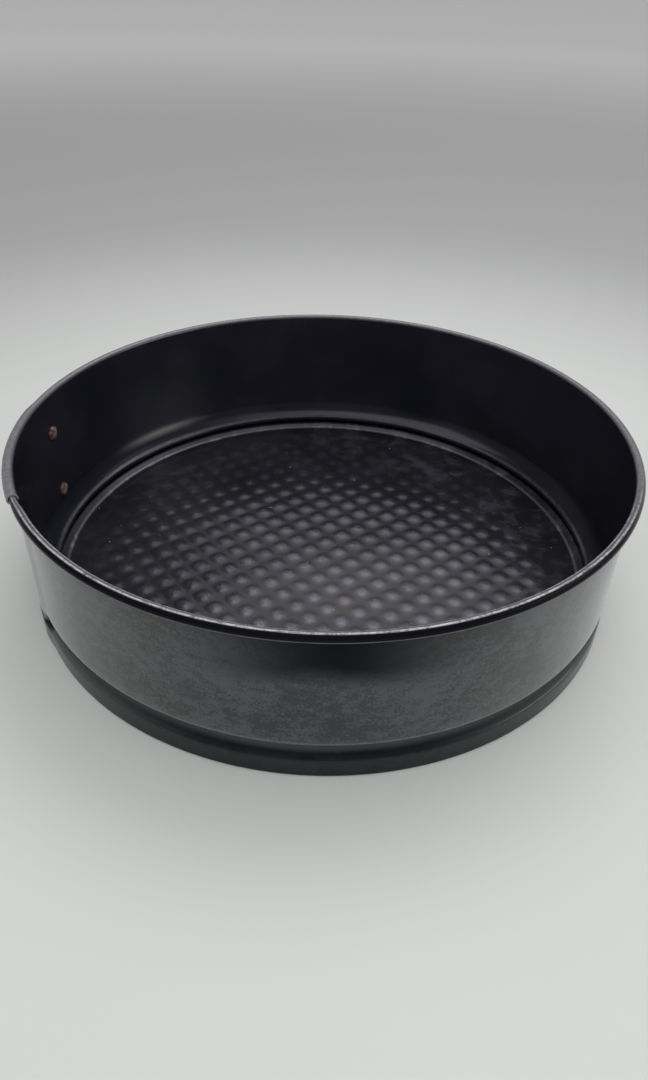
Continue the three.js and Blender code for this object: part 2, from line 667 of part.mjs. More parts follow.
// Catch plate on the band's outer end, with a tab that the crossbar pulls against
function catchGeometry() {
  const tabFront = -(BAIL_RADIUS + TAB_SLACK);
  const tabBack = tabFront - CATCH_SHEET;
  const intoTab = CATCH_SHEET / 4;
  const degreesBack = (length) => deg(length / CATCH_INNER);
  const plate = huggingPlate(
    CATCH_AZIMUTH,
    CATCH_AZIMUTH - degreesBack(CATCH_LENGTH),
    CATCH_AZIMUTH - degreesBack(intoTab - tabFront),
    CATCH_INNER,
    CATCH_SHEET,
    BUCKLE_HEIGHT - CATCH_TALL / 2,
    BUCKLE_HEIGHT + CATCH_TALL / 2,
  );
  const tabOutline = [
    new THREE.Vector2(CATCH_INNER + CATCH_SHEET / 2, tabBack),
    new THREE.Vector2(CROSSBAR_RADIUS + TAB_HOLD, tabBack),
    new THREE.Vector2(CROSSBAR_RADIUS + TAB_HOLD, tabFront),
    new THREE.Vector2(CATCH_INNER + CATCH_SHEET / 2, tabFront),
  ];
  const tab = prism(tabOutline, BUCKLE_HEIGHT - TAB_WIDTH / 2, BUCKLE_HEIGHT + TAB_WIDTH / 2);
  const holes = catchRivets.map((height) => radialDrill(CATCH_RIVET_RADIUS + RIVET_CLEARANCE, height)
    .rotateZ(rad(catchRivetAzimuth - CATCH_AZIMUTH)));
  return cut(joined(plate, tab), ...holes);
}

// Assembly
const pan = new THREE.Group();
pan.name = 'springform_pan';
const pivot = new THREE.Group();
pivot.rotation.z = rad(PIVOT_AZIMUTH);
const catchEnd = new THREE.Group();
catchEnd.rotation.z = rad(CATCH_AZIMUTH);
const catchRivetFrame = new THREE.Group();
catchRivetFrame.rotation.z = rad(catchRivetAzimuth);
pan.add(pivot, catchEnd, catchRivetFrame);

function add(group, name, geometry, material) {
  const mesh = new THREE.Mesh(geometry, material);
  mesh.name = name;
  group.add(mesh);
}

add(pan, 'base_plate', plateGeometry(), coated(0x3a3642, 0.5));
add(pan, 'band', drilledBand(), coated(0x4b5054, 0.45));
add(pivot, 'lever_bracket', bracketGeometry(), plated(0xb4b6b8));
add(pivot, 'lever', leverGeometry(), plated(0xb8babc));
add(pivot, 'lever_pin', pinGeometry(), plated(0xa4a6a8));
add(pivot, 'bail', bailGeometry(), plated(0xbcbec0));
add(catchEnd, 'catch_plate', catchGeometry(), plated(0xb4b6b8));

const ENDS = ['lower', 'upper'];
const bracketRivetSeat = facetRadius(PAN_INNER_RADIUS, PIVOT_AZIMUTH) - SEAT_GAP;
const bracketFace = facetRadius(BRACKET_OUTER, PIVOT_AZIMUTH) + SEAT_GAP;
bracketRivets.forEach((height, i) => {
  const profile = rivetProfile(
    RIVET_RADIUS,
    RIVET_HEAD_RADIUS,
    bracketRivetSeat,
    bracketFace,
    RIVET_HEAD,
    RIVET_HEAD / 2,
  );
  const geometry = radialLathe(profile, height);
  add(pivot, `bracket_rivet_${ENDS[i]}`, geometry, rusted(0x7d5a4c));
});

// The catch rivets end flush with the outer sheet, so that the inner sheet slides past them
const catchRivetSeat = facetRadius(INNER_SHEET_FACE + SEAT_GAP, catchRivetAzimuth);
const catchFace = facetRadius(CATCH_OUTER, catchRivetAzimuth) + SEAT_GAP;
catchRivets.forEach((height, i) => {
  const profile = rivetProfile(
    CATCH_RIVET_RADIUS,
    CATCH_RIVET_HEAD_RADIUS,
    catchRivetSeat,
    catchFace,
    0,
    CATCH_RIVET_HEAD,
  );
  const geometry = radialLathe(profile, height);
  add(catchRivetFrame, `catch_rivet_${ENDS[i]}`, geometry, plated(0xa4a6a8));
});

export default pan;
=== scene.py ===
"""A springform baking pan: a dark coated band and embossed base, held shut by a tinned toggle buckle."""
import json
import math
from types import SimpleNamespace

import bmesh
import bpy
import numpy as np
from mathutils import Matrix, Vector


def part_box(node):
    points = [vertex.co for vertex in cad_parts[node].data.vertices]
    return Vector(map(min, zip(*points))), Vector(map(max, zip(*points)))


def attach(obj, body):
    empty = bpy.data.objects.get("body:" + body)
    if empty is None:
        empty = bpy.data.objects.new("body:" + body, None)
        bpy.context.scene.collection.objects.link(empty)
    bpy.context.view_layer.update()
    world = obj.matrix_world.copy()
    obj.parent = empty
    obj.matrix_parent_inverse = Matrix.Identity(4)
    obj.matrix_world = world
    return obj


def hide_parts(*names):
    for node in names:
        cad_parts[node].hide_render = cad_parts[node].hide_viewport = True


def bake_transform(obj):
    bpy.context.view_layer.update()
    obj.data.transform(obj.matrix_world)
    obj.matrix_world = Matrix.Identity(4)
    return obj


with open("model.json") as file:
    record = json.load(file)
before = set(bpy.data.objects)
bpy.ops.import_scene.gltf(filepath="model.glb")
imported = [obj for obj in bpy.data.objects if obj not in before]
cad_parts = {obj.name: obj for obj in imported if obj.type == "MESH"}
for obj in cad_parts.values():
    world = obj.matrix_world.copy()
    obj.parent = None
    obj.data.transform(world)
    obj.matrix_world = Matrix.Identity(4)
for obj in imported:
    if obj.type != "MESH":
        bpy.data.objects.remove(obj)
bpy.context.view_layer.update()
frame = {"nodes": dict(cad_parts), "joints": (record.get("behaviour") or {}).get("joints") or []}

# Band, in metres and degrees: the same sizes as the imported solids
PAN_INNER_RADIUS = 0.130
BAND_SHEET = 0.0006
SEAT_GAP = 0.0003
PAN_HEIGHT = 0.072
RIM_DIAMETER = 0.0040
RIM_OVERLAP_DIAMETER = 0.0047
BEAD_TOP = 0.0188
BEAD_SHOULDER = 0.0164
BEAD_WAIST = 0.0129
BEAD_WAIST_DEPTH = 0.0044
BEAD_TIP = 0.0117
BEAD_UNDER = 0.0102
BEAD_MOUTH = 0.0096
BEAD_DEPTH = 0.0074
BEAD_TIP_BEND = 0.0005
BEAD_MOUTH_BEND = 0.0016
BEAD_NESTED_SHARE = 0.05
FOOT_LIP = 0.0038
FOOT_CORNER = 0.0012
TAIL_AZIMUTH = 207.5
OVERLAP_ANGLE = 30
RIM_TAPER_ANGLE = 5
JOG_START = 355
JOG_END = 359.6
SPLIT_AZIMUTH = 0
ROLL_SWEEP = 285

# Base plate
PLATE_SHEET = 0.0008
PLATE_EDGE = 0.1286
PLATE_FLANGE = 0.0037
STEP_RUN = 0.0009
RIDGE_WIDTH = 0.0010
RIDGE_RUN = 0.0033
RIDGE_RISE = 0.0019
PLATEAU_RISE = 0.0044
PLATE_BEND = 0.0005
WAFFLE_PITCH = 0.0098
WAFFLE_TURN = 38.2
WAFFLE_SHIFT = (0.0016, 0.0034)
WAFFLE_RISE = 0.00044
WAFFLE_REACH = 0.1120
WAFFLE_FADE = 0.014

# Buckle
PIN_RADIUS = 0.0014
PIN_HEAD_RADIUS = 0.0023
PIN_HEAD = 0.0005
BAIL_RADIUS = 0.0011
BAIL_BEND = 0.0022
BAIL_ARM = 0.011
BAIL_SINK = 0.0007
BAIL_LEG = 0.0112
BAIL_END = 0.0070
CATCH_AZIMUTH = 187
CATCH_OUTER = 0.1328
RIVET_RADIUS = 0.0020
RIVET_HEAD_RADIUS = 0.0032
RIVET_CROWN = 0.128545
RIVET_HEAD_EDGE = 0.0004
BRACKET_OUTER = 0.1319
RIVET_TAIL = 0.00085
CATCH_RIVET_RADIUS = 0.0015
CATCH_RIVET_HEAD_RADIUS = 0.0024
CATCH_RIVET_TAIL = 0.0009
CATCH_RIVET_SETBACK = 0.008
HEAD_CHAMFER = 0.0006
EDGE_ROUNDING = 0.00022

# Steps of the meshes, and angles that count as flat, straight or sharp
STATION_ANGLE = 1.25
LIP_STEPS = 3
FOOT_STEPS = 6
BEND_STEPS = 8
FLANK_STEPS = 14
WALL_STEPS = 13
CURL_STEPS = 34
PLATE_CELLS = 180
PLATE_BEND_STEPS = 3
PLATE_STRAIGHT_ANGLE = 175
WIRE_STRAIGHT_ANGLE = 150
WIRE_SIDES = 20
WIRE_SHARP_ANGLE = 60
LEG_STEPS = 12
LATHE_SIDES = 40
LATHE_SHARP_ANGLE = 50
DOME_STEPS = 8
EDGE_STEPS = 3
EDGE_SHARP_ANGLE = 40
MERGE_DISTANCE = 1e-6
FLAT_ANGLE = 0.3
CARD_STEPS = 24

# A bend takes up at most these shares of the sides before and after its corner
BEND_BACK_LIMIT = 0.48
BEND_AHEAD_LIMIT = 0.8

# Sizes that follow
SHEET_PITCH = BAND_SHEET + SEAT_GAP
BAND_MIDDLE = PAN_INNER_RADIUS + BAND_SHEET / 2
RIM_ROLL = (RIM_DIAMETER - BAND_SHEET) / 2
RIM_OVERLAP_ROLL = (RIM_OVERLAP_DIAMETER - BAND_SHEET) / 2
RIM_NESTED_ROLL = RIM_OVERLAP_ROLL - SHEET_PITCH
ROLL_CENTRE_HEIGHT = PAN_HEIGHT - RIM_OVERLAP_DIAMETER / 2
PLATE_BOTTOM = BAND_SHEET + SEAT_GAP
PLATEAU_TOP = PLATE_BOTTOM + PLATE_SHEET + PLATEAU_RISE
STEP_FOOT = PLATE_EDGE - PLATE_FLANGE
RIDGE_OUTER = STEP_FOOT - STEP_RUN
RIDGE_INNER = RIDGE_OUTER - RIDGE_WIDTH
PLATEAU_RADIUS = RIDGE_INNER - RIDGE_RUN

# Lengths round the band from its tail end: to its front, its back and the start of its jog
FRONT_AROUND = math.radians(TAIL_AZIMUTH + 90) * PAN_INNER_RADIUS
BACK_AROUND = math.radians(TAIL_AZIMUTH - 90) * PAN_INNER_RADIUS
JOG_AROUND = math.radians(JOG_START) * PAN_INNER_RADIUS

# Marks on the band, in metres: ranges, centres with a reach, or the start, full, fading and end of a strip
RIM_FRONT = (0.10, 0.19)
SCUFF_SIDES = (0.03, 0.15)
SCUFF_EDGE = (0.010, 0.0185)
# Where a dark reflection is painted on the wall under the rim in front
DARK_REFLECTION_HEIGHTS = (0.044, 0.056)
DARK_REFLECTION_WAVE = 0.012
DARK_REFLECTION_AROUND = (FRONT_AROUND - 0.006, 0.060)
# The bend above the groove: partly worn, partly a painted highlight
BEND_LINE = (0.0178, 0.0007)
GROOVE_END = (JOG_AROUND, JOG_AROUND + 0.005)
# A pale dusting in the groove, which also paints light onto its shaded downward faces
GROOVE_DUST_AND_LIGHT = (0.0140, 0.0180, 0.0250, 0.0290)
# Painted reflection: the groove is paler at the two sides
SIDE_REFLECTION_STRIP = (0.0100, 0.0130, 0.0270, 0.0300)
# Pale line on the bead's crest: partly worn, partly a painted highlight
CREST_LINE = (0.0122, 0.0009)
# Painted highlight on the inner wall's bend above the bead, at the back
FILLET_HIGHLIGHT_AROUND = (0.162, 0.036)
FILLET_HIGHLIGHT_HEIGHT = (0.0174, 0.0030)
DULL_FOOT = (0.0, 0.0095)
DULL_FOOT_END = (0.0095, 0.0110)
ROUGH_FOOT_END = (0.0085, 0.0105)
DULL_FLANK = (0.0121, 0.0130, 0.0180, 0.0205)
DULL_FLANK_END = (BACK_AROUND - 0.09, BACK_AROUND + 0.02)
ROUGH_FLANK = (0.0125, 0.0170)
HAZE_EDGE = (0.012, 0.020)
CUT_EDGE = (0.0, 0.0008)

# Marks on the rolled rim, the same way, in half turns from the wall
RIM_WORN = (0.04, 0.40)
RIM_TOP = (0.12, 0.24, 0.56, 0.66)
RIM_INNER_LINE = (0.30, 0.12)
RIM_OUTER_LINE = (0.56, 0.10)
# Painted dark reflection on the rim's face in front
RIM_DARK_REFLECTION_FACE = (0.60, 0.70, 1.02, 1.12)
# Painted reflection of the bright floor, low on the rim in front
RIM_FLOOR_REFLECTION_LINE = (1.14, 0.09)
RIM_BEGINS = (-0.2, 0.0)

# Marks on the base, in metres: a place and distances from it, radii, and ranges from left to right
# Patch where the bumps are worn pale and their highlight is painted in, near the front
WORN_AND_LIT_PATCH = (0.020, -0.048, 0.006)
WORN_AND_LIT_REACH = (0.045, 0.115)
WORN_AND_LIT_RIGHT_END = (0.05, 0.10)
# Painted reflection that lightens the base's flat near the front
NEAR_REFLECTION_REACH = (0.02, 0.075)
EDGE_PATCHES = (0.060, 0.100)
EDGE_PATCHES_RIGHT = (-0.04, 0.06)
CREASE = (PLATEAU_RADIUS + 0.0003, 0.0011)
SLOPE = (PLATEAU_RADIUS + 0.0006, PLATEAU_RADIUS + 0.0014)
SLOPE_SIDES = (0.04, 0.09)

# Depths of the surface grain
RIPPLE_DEPTH = 0.00004
GRAIN_DEPTH = 0.00003
RUST_DEPTH = 0.00025

# Roughness
SHEET_ROUGHNESS = 0.34
WIRE_ROUGHNESS = 0.26
FLOOR_ROUGHNESS = 0.6
CARD_ROUGHNESS = 0.9
SHEEN_ROUGHNESS = 0.4

# Colours of the band's coating
OUTSIDE_COAT = (0.0080, 0.0100, 0.0120)
OUTSIDE_SCUFFED = (0.038, 0.046, 0.048)
# Painted dark reflection under the rim in front
OUTSIDE_DARK_REFLECTION = (0.0030, 0.0038, 0.0050)
# Bend above the groove: partly worn, partly a painted highlight
BEND_WORN_AND_HIGHLIGHT = (0.10, 0.105, 0.105)
# Groove dusting, which also paints light onto its shaded faces
DUST_AND_PAINTED_LIGHT_GREY = (0.125, 0.135, 0.140)
# Painted reflection at the two sides of the groove
SIDE_REFLECTION_PALE = (0.19, 0.20, 0.205)
INSIDE_COAT = (0.0085, 0.0090, 0.0135)
INSIDE_SMUDGED = (0.0140, 0.0145, 0.0215)
# Bead crest: partly worn, partly a painted highlight
CREST_WORN_AND_HIGHLIGHT = (0.075, 0.074, 0.082)
# Painted highlight on the inner wall's bend
FILLET_HIGHLIGHT_GREY = (0.150, 0.155, 0.145)
RIM_GREY = (0.120, 0.118, 0.127)
RIM_CHIPPED = (0.185, 0.182, 0.190)
RIM_TOP_GREY = (0.115, 0.110, 0.120)
RIM_SCRATCHED = (0.46, 0.45, 0.47)
# Painted reflection of the bright floor, low on the rim in front
RIM_FLOOR_REFLECTION_GREY = (0.12, 0.122, 0.125)
# Painted dark reflection on the rim's face in front
RIM_DARK_REFLECTION = (0.0035, 0.0035, 0.0045)
CUT_EDGE_GREY = (0.20, 0.195, 0.195)

# Colours of the base's coating
BASE_COAT = (0.0090, 0.0090, 0.0125)
BASE_CLOUDED = (0.0150, 0.0148, 0.0190)
# Painted reflection on the base's flat near the front
BASE_NEAR_REFLECTION = (0.036, 0.036, 0.038)
# Bump tops: partly worn, partly a painted highlight
BUMPS_WORN_AND_HIGHLIT = (0.135, 0.117, 0.150)
EDGE_PATCH_GREY = (0.034, 0.034, 0.042)
# Painted highlight along the crease
CREASE_HIGHLIGHT_GREY = (0.072, 0.067, 0.079)
NICK_GREY = (0.15, 0.148, 0.155)
CRUMB_GREY = (0.20, 0.19, 0.21)

# Colours of the metal
SHEET_DARK = (0.46, 0.46, 0.45)
SHEET_LIGHT = (0.62, 0.62, 0.61)
WIRE_DARK = (0.48, 0.48, 0.47)
WIRE_LIGHT = (0.66, 0.66, 0.65)
STAIN_BROWN = (0.20, 0.15, 0.11)
RUST_DARK = (0.030, 0.020, 0.020)
RUST_RED = (0.30, 0.175, 0.145)
RUST_PALE = (0.42, 0.29, 0.25)

# Floor, room and lamps: colours, sizes in metres and a span in degrees
FLOOR_DARK = (0.565, 0.580, 0.560)
FLOOR_LIGHT = (0.595, 0.607, 0.590)
# Painted shade darkens the floor in a band round the pan, and painted light lightens it far off
FLOOR_PAINTED_SHADE = (0.355, 0.355, 0.355)
FLOOR_PAINTED_LIGHT = (0.70, 0.685, 0.68)
PAINTED_SHADE_REACH = (0.17, 0.62)
PAINTED_LIGHT_REACH = (0.8, 2.6)
FLOOR_HALF = 8.0
CARD_DARK = (0.010, 0.010, 0.011)
CARD_LIGHT = (0.022, 0.022, 0.024)
CARD_RADIUS = 0.85
CARD_FOOT = 0.12
CARD_TOP = 1.10
CARD_ROOF_RADIUS = 0.20
CARD_SPAN = 120
ROOM_LIGHT = (0.71, 0.71, 0.72, 1)
ROOM_SEEN = (0.47, 0.46, 0.47, 1)
ROOM_MIRRORED = (0.12, 0.12, 0.125, 1)
COOL = (0.97, 0.98, 1.05)
LILAC = (1.0, 0.94, 1.07)
WARM_FILL = (1.0, 1.0, 0.98)
WHITE_FILL = (1.0, 1.0, 0.99)
COOL_FILL = (1.0, 1.0, 1.03)
AXIS_FOOT = (0.0, 0.0, 0.0)
AXIS_INSIDE = (0.0, 0.0, 0.05)

# The view as fitted to the photograph: rim radii from the pan's axis and above the floor, angles in radians
PHOTO_LONG_SIDE = 1080
FOCAL_PIXELS = 811
RIM_RADIUS = PAN_INNER_RADIUS + RIM_DIAMETER
CAMERA_BACK = 2.34919 * RIM_RADIUS
CAMERA_UP = 1.79536 * RIM_RADIUS
CAMERA_YAW = 0.0014
CAMERA_PITCH = 0.63219
CAMERA_ROLL = 0.02791
CLIP_NEAR = 0.01
CLIP_FAR = 50

# Sockets of a Mix node: two values, two colours, and the mixed colour
MIX_VALUE_A = 2
MIX_VALUE_B = 3
MIX_COLOUR_A = 6
MIX_COLOUR_B = 7
MIX_COLOUR_OUT = 2

JOINTS = {joint["name"]: joint for joint in frame["joints"]}
PIVOT = Vector(JOINTS["lever_swing"]["pos_m"])
PIVOT_RADIUS = math.hypot(PIVOT.x, PIVOT.y)
PIVOT_AZIMUTH = math.degrees(math.atan2(PIVOT.y, PIVOT.x))


def lerp(a, b, t):
    return a + (b - a) * t


def smooth(low, high, value):
    """0 before low, 1 after high, and an even curve between them."""
    t = np.clip((value - low) / (high - low), 0, 1)
    return t * t * (3 - 2 * t)


def arc(radius, start, end, steps):
    """Points on a circle about the origin, from one angle to another in degrees."""
    turn = np.radians(np.linspace(start, end, steps + 1))
    return np.stack([radius * np.cos(turn), radius * np.sin(turn)], 1)


def cubic(corners, t):
    """A point of the curve from the first corner to the last that leans on the two between them."""
    shares = ((1 - t) ** 3, 3 * t * (1 - t) ** 2, 3 * t * t * (1 - t), t ** 3)
    return sum(share * np.array(corner) for share, corner in zip(shares, corners))


def bent(corners, bends, steps):
    """A path through corners, each one rounded off over its own length of the sides."""
    path = [corners[0]]
    for before, here, after, bend in zip(corners[:-2], corners[1:-1], corners[2:], bends):
        if bend == 0:
            path.append(here)
            continue
        back = (before - here) * min(bend / (before - here).length, BEND_BACK_LIMIT)
        ahead = (after - here) * min(bend / (after - here).length, BEND_AHEAD_LIMIT)
        for t in np.linspace(0, 1, steps + 1):
            path.append(here + back * (1 - t) ** 2 + ahead * t ** 2)
    return path + [corners[-1]]


def rounded(corners, bend, steps, straight):
    """A path through corners, with each one that is sharper than an angle in degrees rounded off."""
    path = [corners[0]]
    for before, here, after in zip(corners[:-2], corners[1:-1], corners[2:]):
        back = (before - here).normalized()
        ahead = (after - here).normalized()
        if back.angle(ahead) > math.radians(straight):
            path.append(here)
            continue
        for t in np.linspace(0, 1, steps + 1):
            path.append(here + back * bend * (1 - t) ** 2 + ahead * bend * t ** 2)
    return path + [corners[-1]]


def polar(radius, degrees):
    turn = math.radians(degrees)
    return Vector((radius * math.cos(turn), radius * math.sin(turn), 0))


def mesh_object(name, vertices, faces, **attributes):
    """A smooth-shaded mesh with one value per vertex for each named attribute."""
    mesh = bpy.data.meshes.new(name)
    mesh.from_pydata(np.asarray(vertices).tolist(), [], faces)
    mesh.update()
    mesh.shade_smooth()
    for key, values in attributes.items():
        layer = mesh.attributes.new(key, "FLOAT", "POINT")
        layer.data.foreach_set("value", np.asarray(values, np.float32).ravel())
    made = bpy.data.objects.new(name, mesh)
    bpy.context.scene.collection.objects.link(made)
    return made


def sweep_faces(rings, points):
    """Quads that join rings of points, each ring closed on itself."""
    ring = np.arange(rings - 1)[:, None] * points
    point = np.arange(points)[None, :]
    after = (point + 1) % points
    quads = [ring + point, ring + after, ring + points + after, ring + points + point]
    return np.stack(quads, -1).reshape(-1, 4).tolist()


# Band
def band_line(step, roll):
    """Middle line of the sheet from the foot to the rolled rim's end, and each point's turn on the rim."""
    lip = 1 - step
    out = SHEET_PITCH * step
    middle = BAND_SHEET / 2
    corner = np.array([BAND_MIDDLE - FOOT_CORNER, middle])
    flat = np.linspace([BAND_MIDDLE - FOOT_LIP, middle], corner, LIP_STEPS + 1)[:-1]
    foot = np.concatenate([flat, corner + (0, FOOT_CORNER) + arc(FOOT_CORNER, -90, 0, FOOT_STEPS)])
    share = np.linspace(0, 1, len(foot))
    foot[:, 0] = lerp(BAND_MIDDLE, foot[:, 0], lip) + out
    foot[:, 1] = lerp(lerp(SHEET_PITCH, middle + FOOT_CORNER, share), foot[:, 1], lip)
    flank = [(BEAD_DEPTH, BEAD_TIP), (BEAD_WAIST_DEPTH, BEAD_WAIST), (0, BEAD_SHOULDER), (0, BEAD_TOP)]
    corners = [(0, BEAD_MOUTH - 2 * BEAD_MOUTH_BEND), (0, BEAD_MOUTH), (BEAD_DEPTH, BEAD_UNDER)]
    corners += [cubic(flank, t) for t in np.linspace(0, 1, FLANK_STEPS + 1)]
    bends = [BEAD_MOUTH_BEND, BEAD_TIP_BEND, BEAD_TIP_BEND] + [0] * (FLANK_STEPS - 1)
    bead = np.array([(p.x, p.y) for p in bent([Vector(c) for c in corners], bends, BEND_STEPS)])
    bead[:, 0] = BAND_MIDDLE + out - bead[:, 0] * lerp(1, BEAD_NESTED_SHARE, step)
    wall_radius = BAND_MIDDLE + out
    wall_ends = ([wall_radius, bead[-1, 1]], [wall_radius, ROLL_CENTRE_HEIGHT])
    wall = np.linspace(*wall_ends, WALL_STEPS + 1)[1:-1]
    curl = arc(roll, 180, 180 - ROLL_SWEEP, CURL_STEPS) + (wall_radius + roll, ROLL_CENTRE_HEIGHT)
    line = np.concatenate([foot, bead, wall, curl])
    off_rim = np.full(len(line) - len(curl), -1.0)
    on_rim = np.linspace(0, ROLL_SWEEP, len(curl)) / 180
    return line, np.concatenate([off_rim, on_rim])


def band_section(step, roll):
    """Both faces of the sheet as one closed loop, with which face, path length and turn of each point."""
    line, turn = band_line(step, roll)
    ahead = np.gradient(line, axis=0)
    ahead /= np.linalg.norm(ahead, axis=1)[:, None]
    normal = np.stack([ahead[:, 1], -ahead[:, 0]], 1)
    length = np.concatenate([[0], np.cumsum(np.linalg.norm(np.diff(line, axis=0), axis=1))])
    outer = line + normal * BAND_SHEET / 2
    inner = line - normal * BAND_SHEET / 2
    loop = np.concatenate([outer, inner[::-1]])
    face = np.concatenate([np.ones(len(line)), np.zeros(len(line))])
    return loop, face, np.concatenate([length, length[::-1]]), np.concatenate([turn, turn[::-1]])


def band_piece(name, start, end):
    """The band between two turns from its tail end, in degrees, as a closed strip."""
    count = int(round((end - start) / STATION_ANGLE))
    turns = np.linspace(start, end, count + 1)
    marks = [OVERLAP_ANGLE, OVERLAP_ANGLE + RIM_TAPER_ANGLE, JOG_START, JOG_END]
    extra = [mark for mark in marks if start < mark < end]
    turns = np.unique(np.concatenate([turns, extra]))
    vertices = []
    values = {"pan_face": [], "pan_up": [], "pan_roll": [], "pan_around": [], "pan_high": []}
    for turn in turns:
        step = float(smooth(JOG_START, JOG_END, turn))
        taper = float(smooth(OVERLAP_ANGLE, OVERLAP_ANGLE + RIM_TAPER_ANGLE, turn))
        roll = lerp(lerp(RIM_OVERLAP_ROLL, RIM_ROLL, taper), RIM_NESTED_ROLL, step)
        loop, face, length, on_rim = band_section(step, roll)
        radius, height = loop.T
        azimuth = math.radians(TAIL_AZIMUTH - turn)
        vertices.append(np.stack([radius * math.cos(azimuth), radius * math.sin(azimuth), height], 1))
        values["pan_face"].append(face)
        values["pan_up"].append(length)
        values["pan_roll"].append(on_rim)
        values["pan_around"].append(np.full(len(face), math.radians(turn) * PAN_INNER_RADIUS))
        values["pan_high"].append(height)
    points = len(vertices[0])
    faces = sweep_faces(len(turns), points)
    # The two cut ends have points of their own, so that the faces beside them keep their shading
    for rows in (vertices, *values.values()):
        rows.extend([rows[0], rows[len(turns) - 1]])
    first = len(turns) * points
    last = first + points
    for i in range(points // 2 - 1):
        far = points - 1 - i
        faces.append([first + i, first + far, first + far - 1, first + i + 1])
        faces.append([last + i, last + i + 1, last + far - 1, last + far])
    attributes = {key: np.concatenate(rows) for key, rows in values.items()}
    return mesh_object(name, np.concatenate(vertices), faces, **attributes)


# Base plate
def waffle(x, y):
    """Share of the full rise: rounded bumps on a turned square lattice that fade out at the edge."""
    turn = math.radians(WAFFLE_TURN)
    u = (x - WAFFLE_SHIFT[0]) * math.cos(turn) + (y - WAFFLE_SHIFT[1]) * math.sin(turn)
    v = (y - WAFFLE_SHIFT[1]) * math.cos(turn) - (x - WAFFLE_SHIFT[0]) * math.sin(turn)
    bump = np.cos(np.pi * u / WAFFLE_PITCH) ** 2 * np.cos(np.pi * v / WAFFLE_PITCH) ** 2
    return bump * (1 - smooth(WAFFLE_REACH - WAFFLE_FADE, WAFFLE_REACH, np.hypot(x, y)))


def plate_edge_path(reach):
    """Radius and height from the plateau's top, over the ridge and round the flange, to its underside."""
    flange_top = PLATE_BOTTOM + PLATE_SHEET
    ridge_top = PLATEAU_TOP + RIDGE_RISE
    corners = [
        (reach, PLATEAU_TOP),
        (PLATEAU_RADIUS, PLATEAU_TOP),
        (RIDGE_INNER, ridge_top),
        (RIDGE_OUTER, ridge_top),
        (STEP_FOOT, flange_top),
        (PLATE_EDGE, flange_top),
        (PLATE_EDGE, PLATE_BOTTOM),
        (STEP_FOOT - PLATE_SHEET, PLATE_BOTTOM),
        (RIDGE_OUTER - PLATE_SHEET, ridge_top - PLATE_SHEET),
        (RIDGE_INNER, ridge_top - PLATE_SHEET),
        (PLATEAU_RADIUS, PLATEAU_TOP - PLATE_SHEET),
        (reach, PLATEAU_TOP - PLATE_SHEET),
    ]
    corners = [Vector((radius, 0, height)) for radius, height in corners]
    return rounded(corners, PLATE_BEND, PLATE_BEND_STEPS, PLATE_STRAIGHT_ANGLE)[1:-1]


def base_piece(name):
    """The plate: a square grid pulled round for the embossed plateau, and rings for its edge."""
    cells = PLATE_CELLS
    reach = PLATEAU_RADIUS - 2 * PLATE_BEND
    side = np.linspace(-1, 1, cells + 1)
    a, b = np.meshgrid(side, side, indexing="ij")
    x = a * np.sqrt(1 - b * b / 2) * reach
    y = b * np.sqrt(1 - a * a / 2) * reach
    rise = waffle(x, y)
    top = np.stack([x, y, PLATEAU_TOP + rise * WAFFLE_RISE], -1).reshape(-1, 3)
    bottom = np.stack([x, y, PLATEAU_TOP - PLATE_SHEET + rise * WAFFLE_RISE], -1).reshape(-1, 3)
    i, j = np.meshgrid(np.arange(cells), np.arange(cells), indexing="ij")
    corner = (i * (cells + 1) + j).ravel()
    quad = np.stack([corner, corner + cells + 1, corner + cells + 2, corner + 1], 1)
    count = (cells + 1) ** 2
    faces = quad.tolist() + (quad[:, ::-1] + count).tolist()
    # The grid's border, anticlockwise, carries the sloped ring, the ridge, the step and the flange
    index = np.arange(count).reshape(cells + 1, cells + 1)
    border = np.concatenate([index[:-1, 0], index[-1, :-1], index[:0:-1, -1], index[0, :0:-1]])
    around = np.arctan2(top[border, 1], top[border, 0])
    ring = np.stack([np.cos(around), np.sin(around), np.zeros(len(border))], 1)
    rings = [p.x * ring + (0, 0, p.z) for p in plate_edge_path(reach)]
    vertices = np.concatenate([top, bottom, *rings])
    loops = [2 * count + k * len(border) + np.arange(len(border)) for k in range(len(rings))]
    rows = [border, *loops, border + count]
    for near, far in zip(rows[:-1], rows[1:]):
        faces += np.stack([near, far, np.roll(far, -1), np.roll(near, -1)], 1).tolist()
    bump = np.concatenate([rise.ravel(), rise.ravel(), np.zeros(len(rings) * len(border))])
    return mesh_object(name, vertices, faces, pan_bump=bump)


# Buckle
def lathe(name, profile, origin, axis):
    """A round piece: a profile of radius and length, turned about an axis."""
    profile = np.asarray(profile)
    turn = np.linspace(0, 2 * np.pi, LATHE_SIDES, endpoint=False)
    along = Vector(axis).normalized()
    across = along.orthogonal().normalized()
    third = along.cross(across)
    ring = np.outer(np.cos(turn), across) + np.outer(np.sin(turn), third)
    body = profile[1:-1]
    vertices = [origin + length * np.array(along) + radius * ring for radius, length in body]
    ends = [origin + profile[0, 1] * np.array(along), origin + profile[-1, 1] * np.array(along)]
    faces = sweep_faces(len(body), LATHE_SIDES)
    total = len(body) * LATHE_SIDES
    last = total - LATHE_SIDES
    for k in range(LATHE_SIDES):
        after = (k + 1) % LATHE_SIDES
        faces.append([total, after, k])
        faces.append([total + 1, last + k, last + after])
    made = mesh_object(name, np.concatenate([*vertices, ends]), faces)
    made.data.set_sharp_from_angle(angle=math.radians(LATHE_SHARP_ANGLE))
    return made


